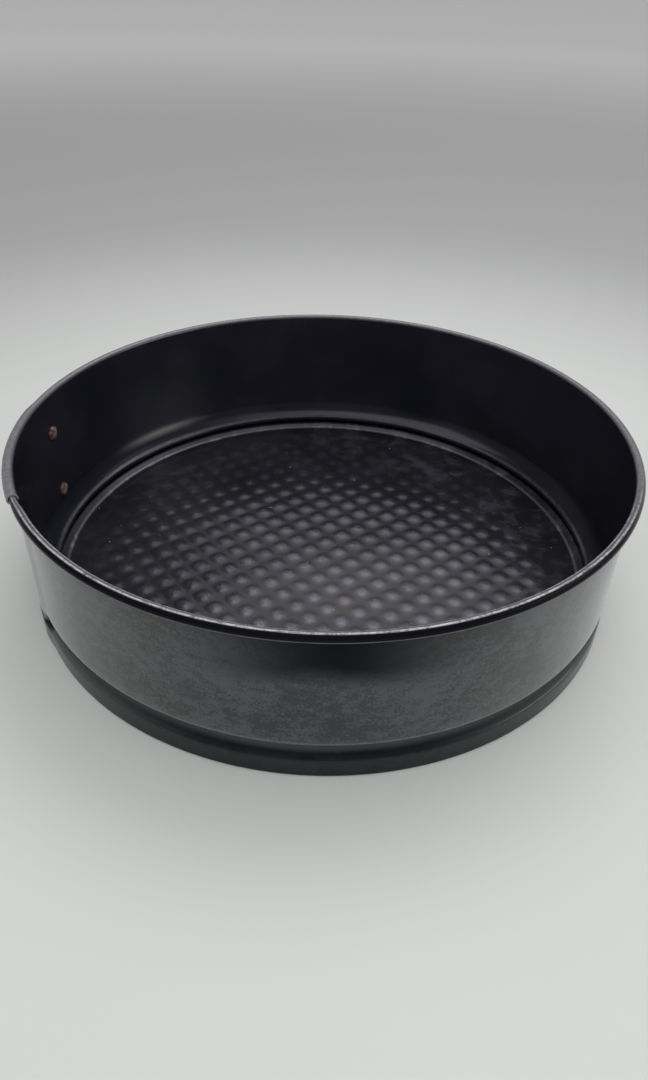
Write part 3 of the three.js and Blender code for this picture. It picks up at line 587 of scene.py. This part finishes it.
def tube(name, path, radius):
    """A round wire along a path of points."""
    path = np.asarray(path)
    ahead = np.gradient(path, axis=0)
    ahead /= np.linalg.norm(ahead, axis=1)[:, None]
    across = np.array([1.0, 0, 0])
    turn = np.linspace(0, 2 * np.pi, WIRE_SIDES, endpoint=False)
    rings = []
    for point, tangent in zip(path, ahead):
        across = across - tangent * (across @ tangent)
        across /= np.linalg.norm(across)
        third = np.cross(tangent, across)
        rings.append(point + radius * (np.outer(np.cos(turn), across) + np.outer(np.sin(turn), third)))
    faces = sweep_faces(len(path), WIRE_SIDES)
    last = (len(path) - 1) * WIRE_SIDES
    faces.append(list(range(WIRE_SIDES))[::-1])
    faces.append([last + k for k in range(WIRE_SIDES)])
    made = mesh_object(name, np.concatenate(rings), faces)
    made.data.set_sharp_from_angle(angle=math.radians(WIRE_SHARP_ANGLE))
    return made


def bail_piece(name):
    """One wire: from an eye in the lever along a leg, round the catch tab and back to the other eye."""
    turned = Matrix.Rotation(math.radians(PIVOT_AZIMUTH), 4, "Z")
    eye = Vector((PIVOT_RADIUS - BAIL_SINK, -BAIL_ARM, 0))
    eye_angle = math.degrees(math.atan2(eye.y, eye.x))
    far_radius = CATCH_OUTER + SEAT_GAP + BAIL_RADIUS
    far_angle = CATCH_AZIMUTH - PIVOT_AZIMUTH
    leg = []
    for t in np.linspace(0, 1, LEG_STEPS + 1):
        leg.append(polar(lerp(eye.length, far_radius, t), lerp(eye_angle, far_angle, t)))
    up = Vector((0, 0, 1))
    corners = [eye - up * BAIL_END, *[p - up * BAIL_LEG for p in leg]]
    corners += [*[p + up * BAIL_LEG for p in leg[::-1]], eye + up * BAIL_END]
    wire = rounded(corners, BAIL_BEND, BEND_STEPS, WIRE_STRAIGHT_ANGLE)
    return tube(name, [turned @ p + up * PIVOT.z for p in wire], BAIL_RADIUS)


def softened(name, node):
    """A copy of a sheet metal node with its edges rounded off."""
    mesh = frame["nodes"][node].data.copy()
    mesh.name = name
    work = bmesh.new()
    work.from_mesh(mesh)
    bmesh.ops.remove_doubles(work, verts=work.verts, dist=MERGE_DISTANCE)
    flat = math.radians(FLAT_ANGLE)
    bmesh.ops.dissolve_limit(work, angle_limit=flat, verts=work.verts, edges=work.edges)
    work.to_mesh(mesh)
    work.free()
    mesh.materials.clear()
    mesh.shade_smooth()
    made = bpy.data.objects.new(name, mesh)
    bpy.context.scene.collection.objects.link(made)
    bevel = made.modifiers.new("edges", "BEVEL")
    bevel.width = EDGE_ROUNDING
    bevel.segments = EDGE_STEPS
    bevel.limit_method = "ANGLE"
    bevel.angle_limit = math.radians(EDGE_SHARP_ANGLE)
    bevel.harden_normals = True
    return made


def rivet_profile(radius, head_radius, crown, seat, face, tail):
    """From the crown of the inner head to the flat outer head; a crown at the seat means no inner head."""
    profile = []
    if crown < seat:
        dome = arc(1, 90, 0, DOME_STEPS)
        rise = seat - RIVET_HEAD_EDGE - crown
        for x, y in dome:
            profile.append([abs(x) * head_radius, seat - RIVET_HEAD_EDGE - rise * y])
        profile.append([head_radius, seat])
    else:
        profile.append([0, seat])
    profile += [[radius, seat], [radius, face], [head_radius, face], [head_radius, face + tail / 2]]
    profile += [[head_radius - HEAD_CHAMFER, face + tail], [0, face + tail]]
    return profile


# Materials
class Shader:
    """Adds and links the nodes of one material."""

    def __init__(self, name):
        self.material = bpy.data.materials.new(name)
        self.material.use_nodes = True
        self.tree = self.material.node_tree
        self.surface = self.tree.nodes["Principled BSDF"]

    def put(self, socket, value):
        if isinstance(value, bpy.types.NodeSocket):
            self.tree.links.new(value, socket)
        elif isinstance(value, tuple) and len(value) == 3 and socket.type == "RGBA":
            socket.default_value = (*value, 1)
        else:
            socket.default_value = value

    def node(self, kind, inputs, output=0, **settings):
        made = self.tree.nodes.new(kind)
        for key, value in settings.items():
            setattr(made, key, value)
        for key, value in inputs.items():
            self.put(made.inputs[key], value)
        return made.outputs[output]

    def attribute(self, name):
        return self.node("ShaderNodeAttribute", {}, "Fac", attribute_name=name)

    def place(self):
        return self.node("ShaderNodeTexCoord", {}, "Object")

    def combine(self, x, y, z):
        return self.node("ShaderNodeCombineXYZ", {0: x, 1: y, 2: z})

    def first_axis(self, vector):
        return self.node("ShaderNodeSeparateXYZ", {0: vector})

    def stretch(self, vector, scale):
        return self.node("ShaderNodeVectorMath", {0: vector, 1: scale}, operation="MULTIPLY")

    def length(self, vector):
        return self.node("ShaderNodeVectorMath", {0: vector}, "Value", operation="LENGTH")

    def distance(self, vector, point):
        return self.node("ShaderNodeVectorMath", {0: vector, 1: point}, "Value", operation="DISTANCE")

    def noise(self, vector, scale, detail, rough, warp=0.0):
        inputs = {"Vector": vector, "Scale": scale, "Detail": detail, "Roughness": rough}
        inputs["Distortion"] = warp
        return self.node("ShaderNodeTexNoise", inputs, "Fac")

    def math(self, operation, a, b=0.0):
        return self.node("ShaderNodeMath", {0: a, 1: b}, operation=operation)

    def plus(self, a, b):
        return self.math("ADD", a, b)

    def minus(self, a, b):
        return self.math("SUBTRACT", a, b)

    def times(self, first, *others):
        for other in others:
            first = self.math("MULTIPLY", first, other)
        return first

    def most(self, a, b):
        return self.math("MAXIMUM", a, b)

    def apart(self, a, b):
        return self.math("ABSOLUTE", self.minus(a, b))

    def without(self, value, share):
        """What is left of 1 when a share of a value is taken away."""
        return self.minus(1.0, self.times(value, share))

    def mask(self, value, low, high, bottom=0.0, top=1.0):
        inputs = {"Value": value, "From Min": low, "From Max": high, "To Min": bottom, "To Max": top}
        return self.node("ShaderNodeMapRange", inputs, interpolation_type="SMOOTHSTEP")

    def fall(self, value, low, high):
        return self.mask(value, low, high, 1.0, 0.0)

    def strip(self, value, start, full, fading, end):
        """0 up to a start, 1 from full to fading, and 0 again from the end."""
        return self.times(self.mask(value, start, full), self.fall(value, fading, end))

    def near(self, value, centre, reach):
        """1 at a centre, falling to 0 at a reach either side of it."""
        return self.fall(self.apart(value, centre), 0.0, reach)

    def mix(self, share, a, b):
        inputs = {0: share, MIX_COLOUR_A: a, MIX_COLOUR_B: b}
        return self.node("ShaderNodeMix", inputs, MIX_COLOUR_OUT, data_type="RGBA")

    def blend(self, share, a, b):
        inputs = {0: share, MIX_VALUE_A: a, MIX_VALUE_B: b}
        return self.node("ShaderNodeMix", inputs, data_type="FLOAT")

    def bump(self, height, depth):
        return self.node("ShaderNodeBump", {"Height": height, "Distance": depth, "Strength": 1.0})

    def finish(self, **values):
        for key, value in values.items():
            self.put(self.surface.inputs[key.replace("_", " ").title().replace("Ior", "IOR")], value)
        return self.material


def band_maps(s):
    """Where each point lies on the band's sheet, and the noises and areas that its worn marks and painted
    light follow.
    """
    m = SimpleNamespace()
    m.around = s.attribute("pan_around")
    m.up = s.attribute("pan_up")
    m.high = s.attribute("pan_high")
    m.roll = s.attribute("pan_roll")
    m.outer = s.attribute("pan_face")
    m.inner = s.minus(1.0, m.outer)
    m.sheet = s.combine(m.around, m.up, m.outer)
    m.cloud = s.noise(m.sheet, 30, 4, 0.55, 0.5)
    m.patch = s.noise(s.stretch(m.sheet, (0.8, 1.25, 1)), 240, 7, 0.72, 0.3)
    m.grain = s.noise(m.sheet, 950, 4, 0.75)
    m.smudge = s.noise(m.sheet, 24, 3, 0.5, 0.3)
    from_front = s.apart(m.around, FRONT_AROUND)
    m.sides = s.mask(from_front, *SCUFF_SIDES)
    m.front = s.fall(from_front, *RIM_FRONT)
    # Painted dark reflection: a darker patch under the rim in front, with a wavy lower edge
    wavy_height = s.plus(m.high, s.times(s.minus(m.cloud, 0.5), DARK_REFLECTION_WAVE))
    m.clean = s.times(s.mask(wavy_height, *DARK_REFLECTION_HEIGHTS), s.near(m.around, *DARK_REFLECTION_AROUND))
    return m


def band_scuffs(s, m):
    """Scuffs outside: thicker towards the two sides than in front, which partly paints the sides' brighter
    grazing reflection, and few on the painted dark reflection under the rim in front.
    """
    scuff = s.plus(s.times(m.patch, 0.55), s.times(m.cloud, 0.45))
    scuff = s.plus(scuff, s.times(s.minus(m.grain, 0.5), 0.60))
    # More scuffs towards the two sides: partly real scuffing, partly painted light for their grazing
    # reflection
    scuff = s.mask(s.plus(scuff, s.times(m.sides, 0.06)), 0.44, 0.58)
    return s.times(scuff, s.mask(m.high, *SCUFF_EDGE, 0.15, 1.0), s.without(m.clean, 0.85))


def band_outside(s, m, scuff):
    """Scuffed coating with a painted dark reflection under the rim in front, a speckled pale bend above the
    groove that is partly worn and partly a painted highlight, a pale dusting in the groove that also paints
    light onto its shaded faces, and a painted reflection along the groove at the two sides.
    """
    colour = s.mix(scuff, OUTSIDE_COAT, OUTSIDE_SCUFFED)
    # Painted dark reflection under the rim in front
    colour = s.mix(s.times(m.clean, 0.9), colour, OUTSIDE_DARK_REFLECTION)
    # Pale speckle along the bend above the groove: partly worn, partly a painted highlight on the edge
    bend_line = s.times(s.near(m.high, *BEND_LINE), s.mask(m.grain, 0.30, 0.62))
    colour = s.mix(s.times(bend_line, 0.2), colour, BEND_WORN_AND_HIGHLIGHT)
    grooved = s.fall(m.around, *GROOVE_END)
    # A pale dusting in the groove, which also paints light onto its shaded downward faces
    groove_dust_and_light = s.times(s.strip(m.up, *GROOVE_DUST_AND_LIGHT), grooved, s.mask(m.cloud, 0.2, 0.7, 0.6, 1.0))
    colour = s.mix(groove_dust_and_light, colour, DUST_AND_PAINTED_LIGHT_GREY)
    # Painted reflection: the groove is paler at the two sides, where it mirrors the bright floor
    side_reflection = s.times(s.strip(m.up, *SIDE_REFLECTION_STRIP), m.sides, grooved, 0.5)
    return s.mix(side_reflection, colour, SIDE_REFLECTION_PALE)


def band_inside(s, m):
    """Nearly black, with a pale line along the crest of the bead that is partly worn and partly a painted
    highlight, and a painted highlight on the wall's bend above it at the back.
    """
    colour = s.mix(s.mask(m.smudge, 0.35, 0.7), INSIDE_COAT, INSIDE_SMUDGED)
    # Pale line on the bead's crest: partly worn, partly a painted highlight
    crest = s.times(s.near(m.high, *CREST_LINE), s.mask(m.patch, 0.35, 0.65, 0.3, 1.0))
    colour = s.mix(s.times(crest, 0.5), colour, CREST_WORN_AND_HIGHLIGHT)
    # Painted highlight on the wall's bend above the bead, at the back
    fillet_highlight = s.times(s.near(m.around, *FILLET_HIGHLIGHT_AROUND), s.near(m.high, *FILLET_HIGHLIGHT_HEIGHT))
    return s.mix(s.times(fillet_highlight, 0.85), colour, FILLET_HIGHLIGHT_GREY)


def band_rim(s, m, coat, rim_dark_reflection):
    """The rolled rim: worn grey all round; in front a scratched top over a black face that is a painted
    dark reflection, and below it a pale line that is a painted reflection of the floor.
    """
    streak = s.noise(s.stretch(m.sheet, (120, 2400, 1)), 1, 4, 0.7)
    chip = s.noise(m.sheet, 560, 4, 0.7)
    grey = s.mix(s.mask(chip, 0.3, 0.7), RIM_GREY, RIM_CHIPPED)
    worn = s.times(s.mask(m.roll, *RIM_WORN), m.inner, s.minus(1.0, m.front))
    colour = s.mix(worn, coat, grey)
    top = s.times(s.strip(m.roll, *RIM_TOP), m.inner, m.front, 0.7)
    colour = s.mix(top, colour, RIM_TOP_GREY)
    lines = s.most(s.near(m.roll, *RIM_INNER_LINE), s.near(m.roll, *RIM_OUTER_LINE))
    lines = s.times(lines, s.mask(s.plus(streak, chip), 0.80, 1.12), m.front, m.inner)
    colour = s.mix(lines, colour, RIM_SCRATCHED)
    # Painted reflection of the bright floor: a pale line low on the rim in front
    rim_floor_reflection = s.times(s.near(m.roll, *RIM_FLOOR_REFLECTION_LINE), m.inner, s.mask(streak, 0.35, 0.6), m.front)
    colour = s.mix(rim_floor_reflection, colour, RIM_FLOOR_REFLECTION_GREY)
    cut_edge = s.times(s.near(m.around, *CUT_EDGE), s.mask(m.roll, *RIM_BEGINS))
    colour = s.mix(cut_edge, colour, CUT_EDGE_GREY)
    # Painted dark reflection: the rim's face in front is nearly black
    return s.mix(s.times(rim_dark_reflection, 0.8), colour, RIM_DARK_REFLECTION)


def band_gloss(s, m, rim_dark_reflection):
    """Dull on the rim's black face and on the dark patch under the rim, both painted dark reflections, on
    the foot, and on the bead's flank towards the rivets.
    """
    dull = s.most(s.times(rim_dark_reflection, 0.9), s.times(m.clean, m.outer, 0.9))
    foot = s.times(s.mask(m.high, *DULL_FOOT, 0.85, 0.5), s.fall(m.high, *DULL_FOOT_END))
    dull = s.most(dull, s.times(foot, m.outer))
    flank = s.times(s.strip(m.high, *DULL_FLANK), m.inner)
    flank = s.times(flank, s.mask(m.around, *DULL_FLANK_END, 1.0, 0.25), 0.9)
    return s.times(s.minus(1.0, s.most(dull, flank)), 0.5)


def band_roughness(s, m, scuff):
    inside = s.plus(s.mask(m.high, *ROUGH_FLANK, 0.12, 0.24), s.times(m.smudge, 0.04))
    outside = s.plus(s.mask(scuff, 0.0, 1.0, 0.13, 0.21), s.mask(m.high, *ROUGH_FOOT_END, 0.09, 0.0))
    return s.blend(m.outer, inside, outside)


def coated_band():
    s = Shader("coated_band")
    m = band_maps(s)
    scuff = band_scuffs(s, m)
    coat = s.mix(m.outer, band_inside(s, m), band_outside(s, m, scuff))
    # Painted dark reflection on the rim's face in front
    rim_dark_reflection = s.times(s.strip(m.roll, *RIM_DARK_REFLECTION_FACE), m.inner, m.front)
    ripple = s.plus(s.times(m.patch, 0.5), s.times(m.grain, 0.25))
    haze = s.times(m.outer, s.mask(m.high, *HAZE_EDGE, 0.06, 0.36), s.without(m.clean, 0.9))
    return s.finish(
        base_color=band_rim(s, m, coat, rim_dark_reflection),
        roughness=band_roughness(s, m, scuff),
        specular_ior_level=band_gloss(s, m, rim_dark_reflection),
        normal=s.bump(ripple, RIPPLE_DEPTH),
        sheen_weight=haze,
        sheen_roughness=SHEEN_ROUGHNESS,
    )


def coated_base():
    s = Shader("coated_base")
    place = s.place()
    bump = s.attribute("pan_bump")
    rightwards = s.first_axis(place)
    from_axis = s.length(s.stretch(place, (1, 1, 0)))
    cloud = s.noise(place, 26, 4, 0.55, 0.4)
    grain = s.noise(place, 700, 4, 0.65)
    patch = s.noise(place, 95, 4, 0.6, 0.4)
    # The bumps are worn pale in a broad patch on the near side, and less so at the right; the patch also
    # paints in the bumps' highlight there
    from_patch = s.distance(place, WORN_AND_LIT_PATCH)
    worn = s.mask(from_patch, *WORN_AND_LIT_REACH, 1.0, 0.10)
    worn = s.times(worn, s.mask(rightwards, *WORN_AND_LIT_RIGHT_END, 1.0, 0.5))
    bump_wear_and_highlight = s.times(s.mask(bump, 0.0, 0.95), s.mask(s.plus(cloud, grain), 0.55, 1.25), worn)
    colour = s.mix(s.mask(cloud, 0.3, 0.7), BASE_COAT, BASE_CLOUDED)
    # Painted reflection: the flat between the bumps is lighter near the front
    near_reflection = s.times(s.fall(from_patch, *NEAR_REFLECTION_REACH), s.mask(cloud, 0.25, 0.65, 0.5, 1.0))
    colour = s.mix(near_reflection, colour, BASE_NEAR_REFLECTION)
    colour = s.mix(bump_wear_and_highlight, colour, BUMPS_WORN_AND_HIGHLIT)
    # Pale grey patches near the edge, most of them at the right, a painted highlight along the crease with
    # nicks on it, and a few dusty crumbs
    edge_patches = s.times(s.mask(patch, 0.46, 0.68), s.mask(from_axis, *EDGE_PATCHES))
    edge_patches = s.times(edge_patches, s.mask(rightwards, *EDGE_PATCHES_RIGHT, 0.35, 1.0))
    colour = s.mix(edge_patches, colour, EDGE_PATCH_GREY)
    crease = s.near(from_axis, *CREASE)
    # Painted highlight: a pale line along the concave crease at the plateau's edge
    colour = s.mix(s.times(crease, 0.7), colour, CREASE_HIGHLIGHT_GREY)
    colour = s.mix(s.times(crease, s.mask(patch, 0.54, 0.70)), colour, NICK_GREY)
    crumbs = s.mask(s.noise(place, 420, 2, 0.5), 0.77, 0.80)
    colour = s.mix(crumbs, colour, CRUMB_GREY)
    # The slope of the ridge is dull at the two sides
    dull = s.times(s.mask(from_axis, *SLOPE), s.mask(s.apart(rightwards, 0.0), *SLOPE_SIDES))
    return s.finish(
        base_color=colour,
        roughness=s.mask(grain, 0.3, 0.7, 0.14, 0.23),
        specular_ior_level=s.mask(dull, 0.0, 1.0, 0.5, 0.22),
        normal=s.bump(grain, GRAIN_DEPTH),
    )


def tinned_steel(name, dark, light, rough):
    s = Shader(name)
    place = s.place()
    cloud = s.noise(place, 160, 5, 0.6, 0.5)
    grain = s.noise(s.stretch(place, (900, 900, 5200)), 1, 3, 0.6)
    stain = s.mask(s.noise(place, 420, 5, 0.7), 0.58, 0.72)
    colour = s.mix(s.times(stain, 0.55), s.mix(cloud, dark, light), STAIN_BROWN)
    roughness = s.plus(s.mask(grain, 0.3, 0.7, rough - 0.06, rough + 0.1), s.times(stain, 0.25))
    normal = s.bump(grain, GRAIN_DEPTH)
    return s.finish(base_color=colour, roughness=roughness, metallic=1.0, normal=normal)


def rusted_rivet():
    s = Shader("rusted_rivet")
    place = s.place()
    blotch = s.noise(place, 520, 5, 0.65, 0.6)
    grain = s.noise(place, 2400, 3, 0.7)
    colour = s.mix(s.mask(blotch, 0.36, 0.62), RUST_DARK, RUST_RED)
    colour = s.mix(s.mask(grain, 0.58, 0.74), colour, RUST_PALE)
    roughness = s.mask(grain, 0.3, 0.7, 0.62, 0.85)
    normal = s.bump(s.plus(blotch, s.times(grain, 0.4)), RUST_DEPTH)
    return s.finish(base_color=colour, roughness=roughness, metallic=0.15, normal=normal)


def pale_floor():
    s = Shader("pale_floor")
    place = s.place()
    away = s.length(place)
    colour = s.mix(s.noise(place, 5, 3, 0.5), FLOOR_DARK, FLOOR_LIGHT)
    # Painted shade in a band round the pan, and painted light far off
    colour = s.mix(s.mask(away, *PAINTED_SHADE_REACH), colour, FLOOR_PAINTED_SHADE)
    colour = s.mix(s.mask(away, *PAINTED_LIGHT_REACH), colour, FLOOR_PAINTED_LIGHT)
    return s.finish(base_color=colour, roughness=FLOOR_ROUGHNESS)


def dark_card():
    s = Shader("dark_card")
    colour = s.mix(s.noise(s.place(), 300, 3, 0.6), CARD_DARK, CARD_LIGHT)
    return s.finish(base_color=colour, roughness=CARD_ROUGHNESS)


# Pieces
def ride(piece, body, slot, material, *nodes):
    piece.data.materials.append(material)
    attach(piece, body)
    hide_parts(*nodes)


COATED_BAND = coated_band()
COATED_BASE = coated_base()
TINNED_SHEET = tinned_steel("tinned_sheet", SHEET_DARK, SHEET_LIGHT, SHEET_ROUGHNESS)
DRAWN_WIRE = tinned_steel("drawn_wire", WIRE_DARK, WIRE_LIGHT, WIRE_ROUGHNESS)
RUSTED_RIVET = rusted_rivet()

split = TAIL_AZIMUTH - SPLIT_AZIMUTH
band_back = band_piece("band_back", 0, split)
ride(band_back, "band", "coated_band", COATED_BAND, "band")

# The band's front half, from the split round to the end of the overlap
band_front = band_piece("band_front", split, 360 + OVERLAP_ANGLE)
band_front.data.materials.append(COATED_BAND)
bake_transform(band_front)
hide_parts("band")

base_sheet = base_piece("base_sheet")
ride(base_sheet, "base", "coated_base", COATED_BASE, "base_plate")

for name, node, body in (
    ("lever_channel", "lever", "lever"),
    ("bracket_sheet", "lever_bracket", "band"),
    ("catch_sheet", "catch_plate", "catch_end"),
):
    ride(softened(name, node), body, "plated_buckle", TINNED_SHEET, node)

ride(bail_piece("bail_wire"), "bail", "plated_wire", DRAWN_WIRE, "bail")

pin_low, pin_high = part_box("lever_pin")
pin_half = (pin_high.z - pin_low.z) / 2
pin_neck = pin_half - PIN_HEAD
pin_profile = [
    (0, -pin_half), (PIN_HEAD_RADIUS, -pin_half), (PIN_HEAD_RADIUS, -pin_neck), (PIN_RADIUS, -pin_neck),
    (PIN_RADIUS, pin_neck), (PIN_HEAD_RADIUS, pin_neck), (PIN_HEAD_RADIUS, pin_half), (0, pin_half),
]
pin = lathe("pivot_pin", pin_profile, np.array(PIVOT), (0, 0, 1))
ride(pin, "band", "plated_wire", DRAWN_WIRE, "lever_pin")

bracket_rivet = rivet_profile(
    RIVET_RADIUS, RIVET_HEAD_RADIUS, RIVET_CROWN, PAN_INNER_RADIUS, BRACKET_OUTER, RIVET_TAIL)
catch_seat = PAN_INNER_RADIUS + BAND_SHEET + SEAT_GAP
catch_rivet = rivet_profile(
    CATCH_RIVET_RADIUS, CATCH_RIVET_HEAD_RADIUS, catch_seat, catch_seat, CATCH_OUTER, CATCH_RIVET_TAIL)
catch_rivet_azimuth = CATCH_AZIMUTH - math.degrees(CATCH_RIVET_SETBACK / CATCH_OUTER)
for end in ("lower", "upper"):
    low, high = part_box(f"bracket_rivet_{end}")
    at = np.array((0, 0, (low.z + high.z) / 2))
    rivet = lathe(f"rivet_{end}", bracket_rivet, at, polar(1, PIVOT_AZIMUTH))
    ride(rivet, "band", "rusted_rivet", RUSTED_RIVET, f"bracket_rivet_{end}")
    low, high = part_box(f"catch_rivet_{end}")
    at = np.array((0, 0, (low.z + high.z) / 2))
    rivet = lathe(f"catch_rivet_head_{end}", catch_rivet, at, polar(1, catch_rivet_azimuth))
    ride(rivet, "catch_end", "plated_wire", DRAWN_WIRE, f"catch_rivet_{end}")

# Floor, light and camera
floor = mesh_object(
    "floor",
    [(x * FLOOR_HALF, y * FLOOR_HALF, 0) for x, y in ((-1, -1), (1, -1), (1, 1), (-1, 1))],
    [[0, 1, 2, 3]],
)
floor.data.materials.append(pale_floor())

# A dark card round the viewer's side, out of the camera's sight, keeps the coating's near faces black
card_turns = np.radians(np.linspace(-90 - CARD_SPAN / 2, -90 + CARD_SPAN / 2, CARD_STEPS + 1))
card_rows = ((CARD_RADIUS, CARD_FOOT), (CARD_RADIUS, CARD_TOP), (CARD_ROOF_RADIUS, CARD_TOP))
card_points = [(r * math.cos(t), r * math.sin(t), z) for r, z in card_rows for t in card_turns]
card_faces = []
for row in range(len(card_rows) - 1):
    for k in range(CARD_STEPS):
        a = row * len(card_turns) + k
        card_faces.append([a, a + 1, a + 1 + len(card_turns), a + len(card_turns)])
card = mesh_object("dark_card", card_points, card_faces)
card.data.materials.append(dark_card())
card.visible_camera = False
card.visible_diffuse = False
card.visible_shadow = False

# The room is darker where the camera sees it, and darkest where the coating mirrors it
world = bpy.data.worlds.new("studio")
bpy.context.scene.world = world
world.use_nodes = True
tree = world.node_tree
background = tree.nodes["Background"]
ray = tree.nodes.new("ShaderNodeLightPath")
seen = tree.nodes.new("ShaderNodeMix")
seen.data_type = "RGBA"
seen.inputs[MIX_COLOUR_A].default_value = ROOM_LIGHT
seen.inputs[MIX_COLOUR_B].default_value = ROOM_SEEN
mirrored = tree.nodes.new("ShaderNodeMix")
mirrored.data_type = "RGBA"
mirrored.inputs[MIX_COLOUR_B].default_value = ROOM_MIRRORED
tree.links.new(ray.outputs["Is Camera Ray"], seen.inputs[0])
tree.links.new(ray.outputs["Is Glossy Ray"], mirrored.inputs[0])
tree.links.new(seen.outputs[MIX_COLOUR_OUT], mirrored.inputs[MIX_COLOUR_A])
tree.links.new(mirrored.outputs[MIX_COLOUR_OUT], background.inputs["Color"])
background.inputs["Strength"].default_value = 1.0


def softbox(name, place, target, width, height, radiance, colour, mirrored=True):
    """A soft light that is either seen in the coating's shine or lights the matt surfaces."""
    lamp = bpy.data.lights.new(name, "AREA")
    lamp.shape = "RECTANGLE"
    lamp.size = width
    lamp.size_y = height
    lamp.energy = radiance * math.pi * width * height
    lamp.color = colour
    made = bpy.data.objects.new(name, lamp)
    made.location = place
    made.rotation_euler = (Vector(target) - Vector(place)).to_track_quat("-Z", "Y").to_euler()
    made.visible_camera = False
    made.visible_diffuse = not mirrored
    made.visible_glossy = mirrored
    bpy.context.scene.collection.objects.link(made)


softbox("top_light", (0.20, 0.645, 1.10), (0.20, 0.645, 0.0), 0.95, 0.42, 3.1, LILAC)
softbox("zenith_light", (0.03, 0.17, 1.10), (0.03, 0.17, 0.0), 1.25, 0.53, 1.3, LILAC)
softbox("back_high", (0.14, 1.10, 1.14), AXIS_INSIDE, 0.95, 0.28, 0.9, COOL)
softbox("back_low", (0.14, 1.10, 0.89), AXIS_INSIDE, 0.95, 0.16, 0.5, COOL)
softbox("side_light", (0.90, -0.18, 0.47), (-0.09, 0.085, 0.015), 0.62, 0.22, 4.0, COOL)
softbox("front_fill", (0.0, -1.10, 1.20), AXIS_FOOT, 1.6, 0.9, 2.0, WARM_FILL, False)
softbox("top_fill", (0.30, 0.60, 1.40), AXIS_FOOT, 1.2, 0.8, 2.2, WHITE_FILL, False)
softbox("right_fill", (1.30, -0.30, 0.90), (0.1, 0.0, 0.0), 1.0, 0.8, 0.7, COOL_FILL, False)

camera_data = bpy.data.cameras.new("camera")
camera = bpy.data.objects.new("camera", camera_data)
bpy.context.scene.collection.objects.link(camera)
bpy.context.scene.camera = camera
camera_data.lens = camera_data.sensor_width * FOCAL_PIXELS / PHOTO_LONG_SIDE
camera_data.clip_start = CLIP_NEAR
camera_data.clip_end = CLIP_FAR
camera.location = (0, -CAMERA_BACK, CAMERA_UP)
heading = Matrix.Rotation(-CAMERA_YAW, 3, "Z")
tilt = Matrix.Rotation(math.pi / 2 - CAMERA_PITCH, 3, "X")
camera.rotation_euler = (heading @ tilt @ Matrix.Rotation(CAMERA_ROLL, 3, "Z")).to_euler()

bpy.context.scene.view_settings.view_transform = "Standard"
